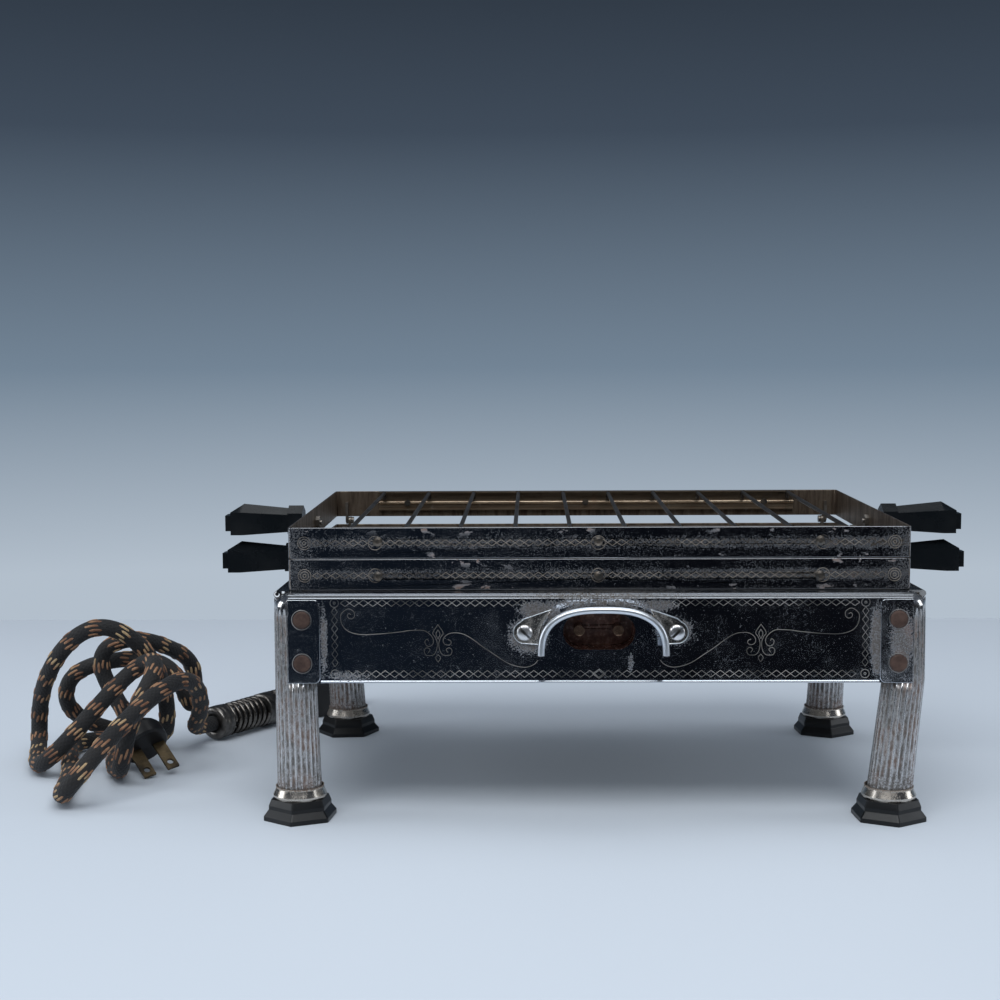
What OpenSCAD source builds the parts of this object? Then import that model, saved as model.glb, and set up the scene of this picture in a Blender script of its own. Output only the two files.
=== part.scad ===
// Flat electric table toaster: a fluted-leg heater box with two hinged wire racks
// and a detached braided cord set. Millimetres, +Z up, the front looks along -Y.

/* [Heater box] */
// Overall width of the box over its leg corners
box_w = 291; // [240:1:340]
// Overall depth of the box over its leg corners
box_d = 189; // [160:1:220]
// Height of the box's underside above the table
box_z = 63; // [50:1:80]
// Height of the side panels
panel_h = 37.5; // [34:0.5:50]
// Sheet thickness of the panels
panel_t = 0.8; // [0.6:0.1:1]
// Radius of the rolled hem along the foot of each panel
hem_r = 0.6; // [0.4:0.1:0.8]
// Thickness of the top rim plate
rim_t = 1; // [0.8:0.1:1.4]
// Radius of the rolled bead round the rim
bead_r = 1.5; // [1.2:0.1:1.8]
// Width of the rim plate from the box's edge to the heat opening
rim_w = 14.5; // [13:0.5:18]
// How far the bead stands out in front of the flanges
bead_out = 0.3; // [0.1:0.1:0.5]
// Gap between the locating studs and the lower rack
stud_gap = 1; // [0.5:0.1:2]
// Radius of the studs that locate the lower rack
stud_r = 2; // [1.5:0.1:2.5]
// Height of the locating studs
stud_h = 3.5; // [2:0.5:5]

/* [Legs] */
// Radius of the fluted column where it meets the box
leg_r = 9.35; // [8:0.05:11]
// Radius of the fluted column at its foot
leg_foot_r = 10.1; // [8.6:0.1:12]
// Sheet thickness of the legs
leg_t = 0.8; // [0.6:0.1:1]
// Number of flutes round a column
flutes = 20; // [12:1:24]
// Depth of each flute
flute_d = 0.5; // [0.2:0.05:0.6]
// How far the flanges' outer faces lie inside the column's radius
face_drop = 0.35; // [0.2:0.05:0.4]
// Length of each flange, measured from the column's axis
flange_l = 12.2; // [10:0.2:16]
// Corner radius at the free end of a flange
flange_r = 2.5; // [1:0.5:4]
// Height of the smooth shoulder at the top of a leg
shoulder_h = 6.5; // [4:0.5:8]
// Inward lean of the front left column
front_left_lean = 1.2; // [0:0.1:6.5]
// Inward lean of the front right column, which has been knocked in
front_right_lean = 6.2; // [0:0.1:6.5]
// Inward lean of the two rear columns
rear_lean = 3.2; // [0:0.1:6.5]
// Radius of the flange rivets' heads
rivet_r = 3.9; // [3:0.1:4.5]
// Radius of the flange rivets' shanks
rivet_shank_r = 1.6; // [1.2:0.1:2]
// Height of the flange rivets' heads
rivet_h = 0.6; // [0.4:0.1:1]
// Distance from a column's axis to the rivets along the flange
rivet_x = 4.2; // [3.5:0.1:6]
// Distance between the two rivets of a flange
rivet_pitch = 19.6; // [16:0.2:24]

/* [Base rings and feet] */
// Radius at the top of the chromed base ring
ring_top_r = 10.9; // [10:0.1:13]
// Radius at the swelling foot of the base ring
ring_foot_r = 12.05; // [11:0.05:14]
// Height of the base ring
ring_h = 5.4; // [4:0.2:8]
// Sheet thickness of the base ring
ring_t = 0.45; // [0.3:0.05:0.5]
// Corner radius of the hexagonal foot's lower step
foot_r = 17.2; // [15.5:0.1:20]
// Corner radius of the foot's upper step
foot_step_r = 14.8; // [14:0.1:15.4]
// Corner radius at the top of the foot
foot_top_r = 13.6; // [13:0.1:13.9]
// Height of the lower step's upright face
foot_low_h = 2; // [1:0.1:3]
// Height of the upper step's upright face
foot_step_h = 1.7; // [1:0.1:3]
// Height of each of the two sloping faces
foot_slope_h = 2.9; // [2:0.1:4]
// Turn of the front left foot about its screw
front_left_turn = -6; // [-30:1:30]
// Turn of the front right foot about its screw
front_right_turn = 3; // [-30:1:30]
// Turn of the rear left foot about its screw
rear_left_turn = -24; // [-30:1:30]
// Turn of the rear right foot about its screw
rear_right_turn = 4; // [-30:1:30]
// Radius of the foot screws
foot_screw_r = 2; // [1.5:0.1:2.4]
// Radius of the foot screws' heads
foot_head_r = 3.8; // [3.2:0.1:4.6]
// Depth of a foot screw's head below the table face of the foot
foot_head_z = 1.2; // [0.6:0.1:2]
// Thickness of the nuts on the foot screws
foot_nut_h = 3; // [2:0.5:4]
// Height of a foot screw's head
foot_head_h = 2; // [1.2:0.1:2.6]

/* [Power inlet] */
// Width of the rounded inlet opening
inlet_w = 32; // [30:0.5:38]
// Height of the rounded inlet opening
inlet_h = 16; // [14:0.5:18]
// Height of the inlet's centre above the underside of the box
inlet_z = 23; // [20:0.5:25]
// Radius of the two round pins
pin_r = 2.38; // [2:0.02:2.6]
// Distance between the two pins
pin_pitch = 17.5; // [16:0.1:19]
// Free length of the pins in the socket
pin_free = 11; // [8:0.5:14]
// Length of pin behind the socket block
pin_tail = 7; // [6:0.5:9]
// Radius of the threaded tails that hold the pins in the inlet block
pin_tail_r = 1.95; // [1.6:0.05:1.95]
// Wall thickness of the socket block
block_wall = 3; // [2:0.5:4]
// Thickness of the socket block's floor
block_floor = 4; // [3:0.5:6]
// Overall width of the hood over the inlet
hood_w = 57; // [52:0.5:62]
// Height of the hood from its feet to its crown
hood_h = 22.5; // [20:0.5:24]
// Depth of the hood in front of the panel
hood_d = 14; // [8:0.5:18]
// Corner radius of the hood's arch
hood_corner = 16; // [12:0.5:19]
// Sheet thickness of the hood
hood_t = 0.9; // [0.7:0.1:1.2]
// Radius of the rolled lip along the hood's front edge
lip_r = 1.5; // [1.2:0.1:1.8]
// Height of the hood's feet above the underside of the box
hood_z = 13.5; // [12:0.5:14]
// Distance between the two screws of the hood
ear_pitch = 67.5; // [66:0.5:72]
// Height of the hood's screws above the underside of the box
ear_z = 22.8; // [22:0.2:24]
// Radius of the rounded ears
ear_r = 5; // [4.6:0.1:5.6]
// Radius of the hood screws' heads
hood_head_r = 3.8; // [3:0.1:4.2]
// Radius of the hood screws
hood_screw_r = 1.9; // [1.5:0.1:2.2]

/* [Heater] */
// Number of coil runs across the box
runs = 7; // [3:2:9]
// Distance between neighbouring coil runs
run_pitch = 22; // [14:0.5:22.5]
// How far the coil runs are set back from the middle of the box
run_shift = 6; // [4:0.5:6.5]
// Outer radius of the heating coil
coil_r = 2.4; // [1.5:0.1:3]
// Distance from the side of the box to the outer bars' middles
bar_in = 27.5; // [26:0.5:40]
// Width of each porcelain bar
bar_w = 10; // [7:0.5:12]
// Height of each porcelain bar
bar_h = 11; // [8:0.5:13]
// Sheet thickness of the reflector and the bottom plate
tray_t = 0.7; // [0.5:0.1:1]
// Height of the bottom plate above the underside of the box
bottom_z = 2; // [1.5:0.1:3]
// Height of the reflector's feet
tray_foot_h = 4; // [3:0.5:6]
// Distance from the reflector's side to its feet
tray_foot_in = 16; // [8:1:24]
// Height of the reflector's turned-up edge
tray_edge = 4.2; // [3:0.1:4.3]
// Gap between the reflector and the panels
tray_gap = 12.5; // [12:0.5:16]
// Length of a vent slot in the bottom plate
vent_l = 56; // [30:2:60]
// Width of a vent slot in the bottom plate
vent_w = 4; // [2:0.5:6]
// Distance between the vent slots across the bottom plate
vent_pitch = 78; // [66:2:80]
// Radius of the covered lead wires
lead_r = 1.3; // [1:0.1:1.6]

/* [Racks] */
// Distance from the side of the box to the side of a rack
rack_in_x = 6.2; // [5.5:0.1:9]
// Distance from the front of the box to the front of a rack
rack_in_y = 8.5; // [8:0.1:12]
// Height of each rack's frame
rack_h = 14; // [12:0.2:20]
// Sheet thickness of the frames
rack_t = 0.9; // [0.7:0.1:1.2]
// Outer corner radius of the frames
rack_r = 2.2; // [1.5:0.1:4]
// Gap between the lower rack and the rim that it stands on
seat_gap = 0.2; // [0.1:0.1:0.4]
// Gap between the two frames along the front
front_gap = 0.3; // [0.2:0.1:0.6]
// Height of the hinge axis above the lower rack
hinge_rise = 2.2; // [2.1:0.1:3]
// Number of wires in each rack
wires = 10; // [6:1:14]
// Distance from a strip's end to its last wire
wire_in = 3.4; // [2.5:0.1:8]
// Radius of the rack wires
wire_r = 1; // [0.8:0.1:1.3]
// Clearance round a wire in its notch
notch_gap = 0.15; // [0.1:0.05:0.3]
// Distance from the side of a rack to the end of a notched strip
strip_in = 24.3; // [18:0.1:26]
// Height of the beaded strips
strip_h = 10.5; // [8:0.5:12]
// Sheet thickness of the strips
strip_t = 0.7; // [0.5:0.1:0.9]
// Width of the strips' turned-in flange
strip_w = 4; // [3.2:0.1:6]
// Radius of the bead pressed along a strip
strip_bead_r = 1; // [0.6:0.1:1.4]
// Distance from a strip's end to its last rivet
strip_rivet_in = 16.2; // [14:0.1:17]
// Radius of the strip rivets' heads
strip_rivet_r = 2.1; // [1.6:0.1:2.6]
// Radius of the strip rivets' shanks
strip_shank_r = 1; // [0.8:0.1:1.2]
// Height of the strip rivets' heads
strip_rivet_h = 0.8; // [0.5:0.1:1.2]

/* [Hinge] */
// Radius of the hinge pins
hinge_pin_r = 1.1; // [0.9:0.05:1.3]
// Radial clearance round a hinge pin
hinge_gap = 0.05; // [0.03:0.01:0.08]
// Radius of the lugs' rounded ends
lug_r = 2; // [1.8:0.05:2.05]
// Length of a lug along the rack's rear wall
lug_l = 8; // [6:0.5:9]
// Depth of a lug in front of the rear wall
lug_w = 3; // [2.4:0.2:5]
// Thickness of each lug
lug_t = 1.4; // [1:0.1:1.8]
// Gap between the lugs of one hinge
lug_gap = 0.2; // [0.1:0.05:0.4]
// Gap between the outer lugs and the racks' side walls
lug_inset = 5; // [4:0.5:8]
// Radius of the hinge pins' heads
hinge_head_r = 1.8; // [1.5:0.1:2]
// Height of the hinge pins' heads
hinge_head_h = 1.1; // [0.8:0.1:1.5]

/* [Handles] */
// Length of a handle's tapered grip
grip_l = 28.5; // [24:0.5:36]
// Width of the grip at its outer end
grip_w = 14; // [10:0.5:18]
// Height of the grip's upright sides at its outer end
grip_h = 11.4; // [9:0.2:13]
// Height of the pitched roof at the grip's outer end
grip_roof = 3.8; // [2:0.2:5]
// Size of the grip's inner end as a share of its outer end
grip_taper = 0.76; // [0.6:0.02:0.9]
// Length of the hip that closes the roof's outer end
grip_hip = 6; // [3:0.5:8]
// Length of a handle's collar
collar_l = 7.4; // [5:0.2:10]
// How far the collar stands out round the grip's inner end
collar_step = 0.8; // [0.4:0.1:1.4]
// Length of the end button
button_l = 3; // [2:0.5:5]
// How far the button is set in from the grip's sides
button_step = 1.8; // [1:0.2:3]
// Gap between the upper rack and its handles' collars
upper_handle_gap = 5.2; // [4.4:0.1:7]
// Gap between the lower rack and its handles' collars, beyond the rim
lower_handle_gap = 6.9; // [6.9:0.1:8]
// Radius of the rod through a handle
rod_r = 1.2; // [1:0.1:1.6]
// Depth of the rod in the grip and collar
rod_depth = 24; // [12:1:30]
// How far the lower handles lie below the middle of their rack's walls
lower_handle_drop = 3; // [0:0.1:3.4]
// How far the upper handles lie below the middle of their rack's walls
upper_handle_drop = 0.4; // [-3:0.1:3]
// Width across the corners of the handle nuts
nut_w = 6; // [5:0.2:7]
// Thickness of the handle nuts
nut_h = 2; // [1.5:0.1:3]

/* [Cord set] */
// Diameter of the braided cord
cord_d = 8.6; // [7.6:0.1:8.8]
// Outer radius of the ferrule at the free end of the spring guard
ferrule_r = 9.2; // [8.4:0.1:9.6]
// Length of the ferrule
ferrule_l = 9; // [6:0.5:12]
// Clearance between the cord and the rings that it passes through
cord_gap = 0.3; // [0.2:0.1:0.6]
// Thickness of the spring guard's wire
guard_wire = 2.2; // [1.6:0.1:2.4]
// Outer radius of the spring guard at the ferrule
guard_r1 = 9; // [8.2:0.1:9.2]
// Outer radius of the spring guard at the connector
guard_r2 = 9.6; // [9:0.1:9.7]
// Number of curls between the ferrule and the band
curls = 7; // [5:1:7]
// Length of the spring between the ferrule and the band
curls_l = 30; // [30:1:36]
// Length of the band that joins the two springs
band_l = 9; // [6:0.5:12]
// Number of curls between the band and the connector
tail_curls = 4; // [3:1:4]
// Length of the spring between the band and the connector
tail_l = 20; // [19:1:24]
// Length of the appliance connector's body
connector_l = 46; // [40:1:56]
// Width of the appliance connector's body
connector_w = 34; // [31:0.5:38]
// Thickness of the appliance connector's body
connector_h = 19.4; // [18:0.1:19.4]
// Width of the appliance connector at the spring guard
connector_neck = 22; // [20:0.5:26]
// Length over which the connector widens
connector_taper = 18; // [12:1:24]
// Clearance of the connector's sockets round the inlet's pins
socket_gap = 0.08; // [0.05:0.01:0.1]
// Depth of the connector's sockets
socket_l = 16; // [14:0.5:20]
// Radius of the connector's two screws
connector_screw_r = 1.6; // [1.4:0.1:1.8]
// Radius of the connector screws' heads
connector_head_r = 3; // [2.6:0.1:3.4]
// Radius of the wall plug's body
plug_r = 12; // [10.5:0.5:12.5]
// Length of the wall plug's body
plug_l = 18; // [16:0.5:20]
// Radius of the wall plug's neck
plug_neck_r = 6.5; // [5:0.5:8]
// Width of a wall plug's blade
blade_w = 6.35; // [6:0.05:6.6]
// Thickness of a wall plug's blade
blade_t = 1.5; // [1.4:0.05:1.6]
// Free length of a wall plug's blade
blade_l = 17.5; // [15:0.5:17.5]
// Distance between the middles of the two blades
blade_pitch = 12.7; // [12:0.1:13]
// Depth to which a blade is set into the plug
blade_root = 7; // [5:0.5:9]
// Turn of the plug about its own axis
plug_turn = 14; // [8:1:20]

/* [Hidden] */
$fn = 48;
eps = 0.01;

chrome = [0.78, 0.79, 0.8];
dark_plate = [0.1, 0.11, 0.16];
bakelite = [0.05, 0.05, 0.055];
rust = [0.33, 0.2, 0.14];
tarnish = [0.42, 0.36, 0.29];
porcelain = [0.85, 0.82, 0.75];

leg_face = leg_r - face_drop;
leg_in = leg_r - leg_t - face_drop / 2;
wrap = sqrt(pow(leg_in, 2) - pow(leg_face - leg_t, 2)) - 0.05;
hole_gap = 0.05;
axis_x = box_w / 2 - leg_face;
axis_y = box_d / 2 - leg_face;
panel_top = box_z + panel_h;
rim_top = panel_top + 2 * bead_r;
foot_h = foot_low_h + foot_step_h + 2 * foot_slope_h;
web_t = 1;
leg_low = foot_h + web_t;
column_h = box_z - leg_low;
legs = [
    [-1, -1, front_left_lean, front_left_turn],
    [1, -1, front_right_lean, front_right_turn],
    [-1, 1, rear_lean, rear_left_turn],
    [1, 1, rear_lean, rear_right_turn]
];

// The box is set back so that the hood and the rear feet reach equally far from the origin
front_reach = box_d / 2 - leg_t + hood_d + lip_r;
rear_reach = axis_y + foot_r * max(cos(rear_left_turn), cos(rear_right_turn));
stand_y = (front_reach - rear_reach) / 2;

rack_w = box_w - 2 * rack_in_x;
rack_d = box_d - 2 * rack_in_y;
rack_z = rim_top + seat_gap;
rack_top = rack_z + rack_h;
hinge_y = rack_d / 2 - rack_t / 2;
hinge_z = rack_top + hinge_rise;
tilt = asin((2 * hinge_rise - front_gap) / (hinge_y + rack_d / 2));

strip_l = rack_w - 2 * strip_in;
wire_pitch = (strip_l - 2 * wire_in) / (wires - 1);
strip_rivet_pitch = strip_l / 2 - strip_rivet_in;
wire_x = [for (i = [0 : wires - 1]) (i - (wires - 1) / 2) * wire_pitch];
rivet_xs = [for (i = [-1 : 1]) i * strip_rivet_pitch];
wall_x = rack_w / 2 - rack_t;
wall_y = rack_d / 2 - rack_t;
bead_z = rack_h - 0.6 * strip_h;
lug_x = wall_x - lug_inset;
lower_rod_z = rack_h / 2 - lower_handle_drop;
upper_rod_z = rack_h / 2 - upper_handle_drop;

socket_depth = pin_free + 2;
block_y = -box_d / 2 + leg_t + panel_t;
tray_z = box_z + bottom_z + tray_t + tray_foot_h;
coil_z = tray_z + tray_t + bar_h;
run_l = box_w - 2 * bar_in;
run_y = [for (i = [0 : runs - 1]) run_shift + (i - (runs - 1) / 2) * run_pitch];
run_end = run_l / 2 + bar_w / 2 + coil_r + 1;

// Points that draw the cord's free stretch, from the back of the plug to the ferrule
free_points = [
    [-236, 9, 23], [-249, 22, 36], [-258, 28, 50], [-253, 28, 61], [-238, 36, 63],
    [-225, 54, 54], [-217, 69, 45], [-216, 72, 30], [-214, 55, 22], [-213, 38, 27],
    [-218, 34, 46], [-234, 38, 52], [-260, 42, 49], [-278, 42, 42], [-284, 50, 23],
    [-272, 64, 9], [-248, 62, 5], [-229, 48, 5], [-222, 31, 18], [-221, 22, 40],
    [-229, 13, 63], [-248, 1, 78], [-268, 2, 65], [-282, 14, 44], [-291, 32, 25],
    [-291, 32, 6], [-285, 8, 5], [-277, -16, 5], [-263, -19, 17], [-242, -2, 43],
    [-231, 6, 53], [-220, -2, 59], [-216, -20, 53], [-224, -33, 38], [-228, -39, 18],
    [-232, -28, 5], [-245, 0, 5], [-244, 26, 5], [-248, 45, 5], [-264, 52, 5],
    [-277, 38, 5], [-268, 8, 5], [-257, -26, 5], [-252, -56, 5], [-248, -74, 6],
    [-238, -76, 18], [-227, -58, 33], [-214, -38, 46], [-202, -18, 53], [-199, 6, 41],
    [-204, 28, 22], [-215, 51, 9.8], [-206, 66, 9.8]
];
guard_at = free_points[len(free_points) - 1];
guard_way = unit([3, 5, 0]);
guard_l = ferrule_l + curls_l + band_l + tail_l;
route = concat(free_points, [guard_at + guard_way * guard_l / 2, guard_at + guard_way * guard_l]);
stretches = len(route) - 1;
cord_rings = 80;
cord_line = concat(
    [on_curve(route, 0), on_curve(route, 0.12)],
    [for (i = [1 : cord_rings]) on_curve(route, i * stretches / cord_rings)]
);
plug_way = unit(route[0] - route[1]);

// Least distance of a line of points from itself, leaving out the near steps on either side
function least_gap(line, near) = min([
    for (i = [0 : len(line) - 1 - near], j = [i + near : len(line) - 1]) norm(line[i] - line[j])
]);

fine_steps = 5 * stretches;
fine_line = [for (i = [0 : fine_steps]) on_curve(route, i * stretches / fine_steps)];
echo(cord_length = norm_sum(fine_line), cord_gap_to_itself = least_gap(fine_line, 8) - cord_d);
echo(guard_gap_to_itself = (curls_l - 2 * guard_wire - 2) / curls - guard_wire);
echo(tail_gap_to_itself = (tail_l - 2 * guard_wire - 2) / tail_curls - guard_wire);

function unit(v) = v / norm(v);

function norm_sum(line) = len(line) < 2 ? 0 : [for (i = [1 : len(line) - 1]) norm(line[i] - line[i - 1])]
    * [for (i = [1 : len(line) - 1]) 1];

// Place u points along the smooth curve that the points p draw
function on_curve(p, u) =
    let (
        n = len(p) - 1,
        i = min(floor(u), n - 1),
        t = u - i,
        before = i > 0 ? p[i - 1] : 2 * p[0] - p[1],
        after = i < n - 1 ? p[i + 2] : 2 * p[n] - p[n - 1]
    )
    (pow(1 - t, 3) * before + (3 * pow(t, 3) - 6 * t * t + 4) * p[i]
        + (-3 * pow(t, 3) + 3 * t * t + 3 * t + 1) * p[i + 1] + pow(t, 3) * after) / 6;

// Directions of a line of points
function ways(line) = [
    for (i = [0 : len(line) - 1]) unit(line[min(i + 1, len(line) - 1)] - line[max(i - 1, 0)])
];

// Sideways directions that follow a line without twisting
function sides_of(way) = [
    for (i = 0, s = unit(cross(way[0], [0.3, 0.2, 1])); i < len(way);
        i = i + 1, s = i < len(way) ? unit(s - (s * way[i]) * way[i]) : s) s
];

// Points of a circle of radius r pressed with flutes
function fluted(r) = [
    for (i = [0 : 4 * flutes - 1])
        let (a = i * 90 / flutes)
        (r - flute_d * abs(sin(a * flutes / 2))) * [cos(a), sin(a)]
];

// Moves the toaster back so that its box is centred on the origin
module stand() {
    translate([0, stand_y, 0]) children();
}

// Puts a shape drawn for the front left corner on the corner that sides names
module corner(sides) {
    mirror([sides[0] > 0 ? 1 : 0, 0, 0])
        mirror([0, sides[1] > 0 ? 1 : 0, 0])
            translate([-axis_x, -axis_y, 0])
                children();
}

// Turns a shape drawn on the front flange onto the side flange
module other_flange() {
    mirror([1, -1, 0]) children();
}

// Extrudes an outline drawn in x and z backwards from the plane at y
module upright(y, t) {
    translate([0, y + t, 0]) rotate([90, 0, 0]) linear_extrude(t) children();
}

// Rectangle about the origin with rounded corners
module rounded(w, h, r) {
    square([w - 2 * r, h], center = true);
    square([w, h - 2 * r], center = true);
    for (x = [-1, 1], y = [-1, 1])
        translate([x * (w / 2 - r), y * (h / 2 - r)]) circle(r);
}

// Round rod from point a to point b
module rod(a, b, r) {
    d = b - a;
    translate(a)
        rotate([0, acos(d[2] / norm(d)), atan2(d[1], d[0])])
            cylinder(h = norm(d), r = r);
}

// Round wire bent through a list of points
module bent_wire(points, r) {
    for (i = [1 : len(points) - 1]) rod(points[i - 1], points[i], r);
    for (i = [1 : len(points) - 2]) translate(points[i]) sphere(r * 1.02);
}

// Places of the rivets on a flange, seen from the column's axis
function rivet_places() = [for (s = [-1, 1]) [rivet_x, box_z + panel_h / 2 + s * rivet_pitch / 2]];

// One flat wall of the box, its outer face towards -Y, wide enough to pass both column axes
module panel(half, axis) {
    outer = half - leg_t;
    len = 2 * (axis + wrap);
    difference() {
        union() {
            translate([-len / 2, -outer, box_z]) cube([len, panel_t, panel_h]);
            translate([-(axis - flange_l - 0.3), -outer, box_z + hem_r])
                rotate([0, 90, 0])
                    cylinder(h = 2 * (axis - flange_l - 0.3), r = hem_r);
        }
        for (s = [-1, 1], p = rivet_places())
            translate([s * (axis - p[0]), -outer - 1, p[1]])
                rotate([-90, 0, 0])
                    cylinder(h = panel_t + 2, r = rivet_shank_r + hole_gap);
    }
}

module obround(w, h) {
    square([w - h, h], center = true);
    for (s = [-1, 1]) translate([s * (w - h) / 2, 0]) circle(h / 2);
}

module front_panel() {
    color(dark_plate) stand() difference() {
        panel(box_d / 2, axis_x);
        translate([0, 0, box_z + inlet_z]) upright(-box_d / 2, 3) obround(inlet_w, inlet_h);
        for (s = [-1, 1])
            translate([s * ear_pitch / 2, -box_d / 2, box_z + ear_z])
                rotate([-90, 0, 0])
                    cylinder(h = 3, r = hood_screw_r + hole_gap);
    }
}

module rear_panel() {
    color(dark_plate) stand() rotate([0, 0, 180]) panel(box_d / 2, axis_x);
}

module left_panel() {
    color(dark_plate) stand() rotate([0, 0, -90]) panel(box_w / 2, axis_y);
}

module right_panel() {
    color(dark_plate) stand() rotate([0, 0, 90]) panel(box_w / 2, axis_y);
}

// Straight bead along one edge of the rim, drawn on the front edge
module rim_bead(half, axis) {
    translate([-(axis + wrap), -(half + bead_out - bead_r), rim_top - bead_r])
        rotate([0, 90, 0])
            cylinder(h = 2 * (axis + wrap), r = bead_r);
}

module top_rim() {
    color(chrome) stand() {
        difference() {
            translate([0, 0, rim_top - rim_t]) linear_extrude(rim_t) difference() {
                square([box_w + 2 * bead_out - 2 * bead_r, box_d + 2 * bead_out - 2 * bead_r], center = true);
                square([box_w - 2 * rim_w, box_d - 2 * rim_w], center = true);
            }
            for (leg = legs)
                corner(leg) translate([-wrap - leg_r, -wrap - leg_r, 0]) cube([leg_r, leg_r, 2 * rim_top]);
        }
        for (a = [0, 180]) rotate([0, 0, a]) rim_bead(box_d / 2, axis_x);
        for (a = [90, -90]) rotate([0, 0, a]) rim_bead(box_w / 2, axis_y);
        for (x = [-1, 1], y = [-1, 1])
            translate([
                x * (rack_w / 2 - rack_t - stud_r - stud_gap),
                y * (rack_d / 2 - rack_t - stud_r - stud_gap),
                rim_top - rim_t
            ])
                cylinder(h = rim_t + stud_h, r = stud_r);
    }
}

module bottom_plate() {
    inner_x = box_w / 2 - leg_t - panel_t;
    inner_y = box_d / 2 - leg_t - panel_t;
    color(tarnish) stand() difference() {
        translate([-inner_x, -inner_y, box_z + bottom_z]) cube([2 * inner_x, 2 * inner_y, tray_t]);
        for (leg = legs)
            corner(leg) translate([-wrap - leg_r, -wrap - leg_r, 0]) cube([leg_r, leg_r, box_z + panel_h]);
        for (x = [-1, 0, 1], y = [-1, 0, 1])
            translate([x * vent_pitch, y * box_d / 4, box_z])
                linear_extrude(panel_h) obround(vent_l, vent_w);
    }
}

// Flange on the front of the box, drawn from the column's axis, with its rivet holes
module flange() {
    difference() {
        translate([0, 0, box_z]) upright(-leg_face, leg_t) {
            translate([-wrap - 0.6, 0]) square([wrap + 0.6 + flange_l - flange_r, panel_h]);
            translate([0, flange_r]) square([flange_l, panel_h - 2 * flange_r]);
            for (z = [flange_r, panel_h - flange_r])
                translate([flange_l - flange_r, z]) circle(flange_r);
        }
        for (p = rivet_places())
            translate([p[0], -leg_face - 1, p[1]])
                rotate([-90, 0, 0])
                    cylinder(h = leg_t + 2, r = rivet_shank_r + hole_gap);
    }
}

// Smooth shoulder that closes the corner at the top of a leg
module shoulder() {
    steps = 8;
    outer = [for (i = [0 : steps]) [leg_r * cos(i * 90 / steps), shoulder_h * sin(i * 90 / steps)]];
    inner = [for (i = [steps : -1 : 0])
        [(leg_r - leg_t) * cos(i * 90 / steps), (shoulder_h - leg_t) * sin(i * 90 / steps)]];
    translate([0, 0, rim_top - shoulder_h]) rotate_extrude() polygon(concat(outer, inner));
}

// Sheet-metal leg: corner shell, shoulder and two flanges above, fluted column below
module leg(leg) {
    lean = leg[2];
    reach = 2;
    stretch = column_h + 2 * reach;
    shell = wrap + 0.1;
    color(chrome) stand() corner(leg) {
        flange();
        other_flange() flange();
        intersection() {
            union() {
                translate([0, 0, box_z]) linear_extrude(rim_top - shoulder_h - box_z) difference() {
                    polygon(fluted(leg_r));
                    circle(leg_in);
                }
                shoulder();
            }
            translate([-shell - 2 * leg_r, -shell - 2 * leg_r, box_z])
                cube([2 * leg_r, 2 * leg_r, 2 * panel_h]);
        }
        intersection() {
            translate([0, 0, box_z])
                rotate([0, -lean, 0])
                    translate([0, 0, -column_h - reach])
                        linear_extrude(stretch, scale = (leg_r - 0.1) / leg_foot_r) difference() {
                            polygon(fluted(leg_foot_r));
                            circle(leg_foot_r - flute_d - leg_t / 2);
                        }
            translate([-4 * leg_r, -4 * leg_r, leg_low]) cube([8 * leg_r, 8 * leg_r, column_h]);
        }
    }
}

// Moves a shape from the column's axis to the place where the leaning column meets its foot
module at_foot(leg) {
    stand() corner(leg) translate([tan(leg[2]) * column_h, 0, 0]) children();
}

module base_ring(leg) {
    mid_r = (ring_top_r + ring_foot_r) / 2 - 0.2;
    color(chrome) at_foot(leg) translate([0, 0, foot_h]) rotate_extrude() {
        polygon([
            [ring_foot_r - 0.4, 0],
            [ring_foot_r, ring_h * 0.15],
            [ring_foot_r, ring_h * 0.3],
            [mid_r, ring_h * 0.62],
            [ring_top_r - 0.15, ring_h * 0.85],
            [ring_top_r, ring_h],
            [ring_top_r - ring_t, ring_h],
            [ring_top_r - ring_t, ring_h * 0.4],
            [ring_foot_r - 2 * ring_t, web_t],
            [ring_foot_r - 1.4, 0]
        ]);
        translate([foot_screw_r + hole_gap, 0]) square([ring_foot_r - foot_screw_r - 1.2, web_t]);
    }
}

module foot(leg) {
    color(bakelite) at_foot(leg) rotate([0, 0, leg[3] * leg[0] * leg[1] + 30]) difference() {
        union() {
            cylinder(h = foot_low_h, r = foot_r, $fn = 6);
            translate([0, 0, foot_low_h])
                cylinder(h = foot_slope_h, r1 = foot_r, r2 = foot_step_r, $fn = 6);
            translate([0, 0, foot_low_h + foot_slope_h])
                cylinder(h = foot_step_h, r = foot_step_r, $fn = 6);
            translate([0, 0, foot_low_h + foot_slope_h + foot_step_h])
                cylinder(h = foot_slope_h, r1 = foot_step_r, r2 = foot_top_r, $fn = 6);
        }
        translate([0, 0, -1]) cylinder(h = foot_h + 2, r = foot_screw_r + hole_gap);
        translate([0, 0, -1]) cylinder(h = 1 + foot_head_z + foot_head_h, r = foot_head_r + 0.3);
    }
}

// Hexagonal nut, its seat on z = 0
module nut(w, h, bore_r) {
    difference() {
        cylinder(h = h, r = w / 2, $fn = 6);
        translate([0, 0, -1]) cylinder(h = h + 2, r = bore_r + hole_gap);
    }
}

module foot_screws() {
    color(tarnish) for (leg = legs) at_foot(leg) {
        difference() {
            union() {
                translate([0, 0, foot_head_z]) cylinder(h = foot_head_h, r = foot_head_r);
                translate([0, 0, foot_head_z])
                    cylinder(h = leg_low + foot_nut_h + 1 - foot_head_z, r = foot_screw_r);
            }
            translate([-foot_head_r, -0.5, foot_head_z - 1]) cube([2 * foot_head_r, 1, 2]);
        }
        translate([0, 0, leg_low]) nut(3.6 * foot_screw_r, foot_nut_h, foot_screw_r);
    }
}

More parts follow.
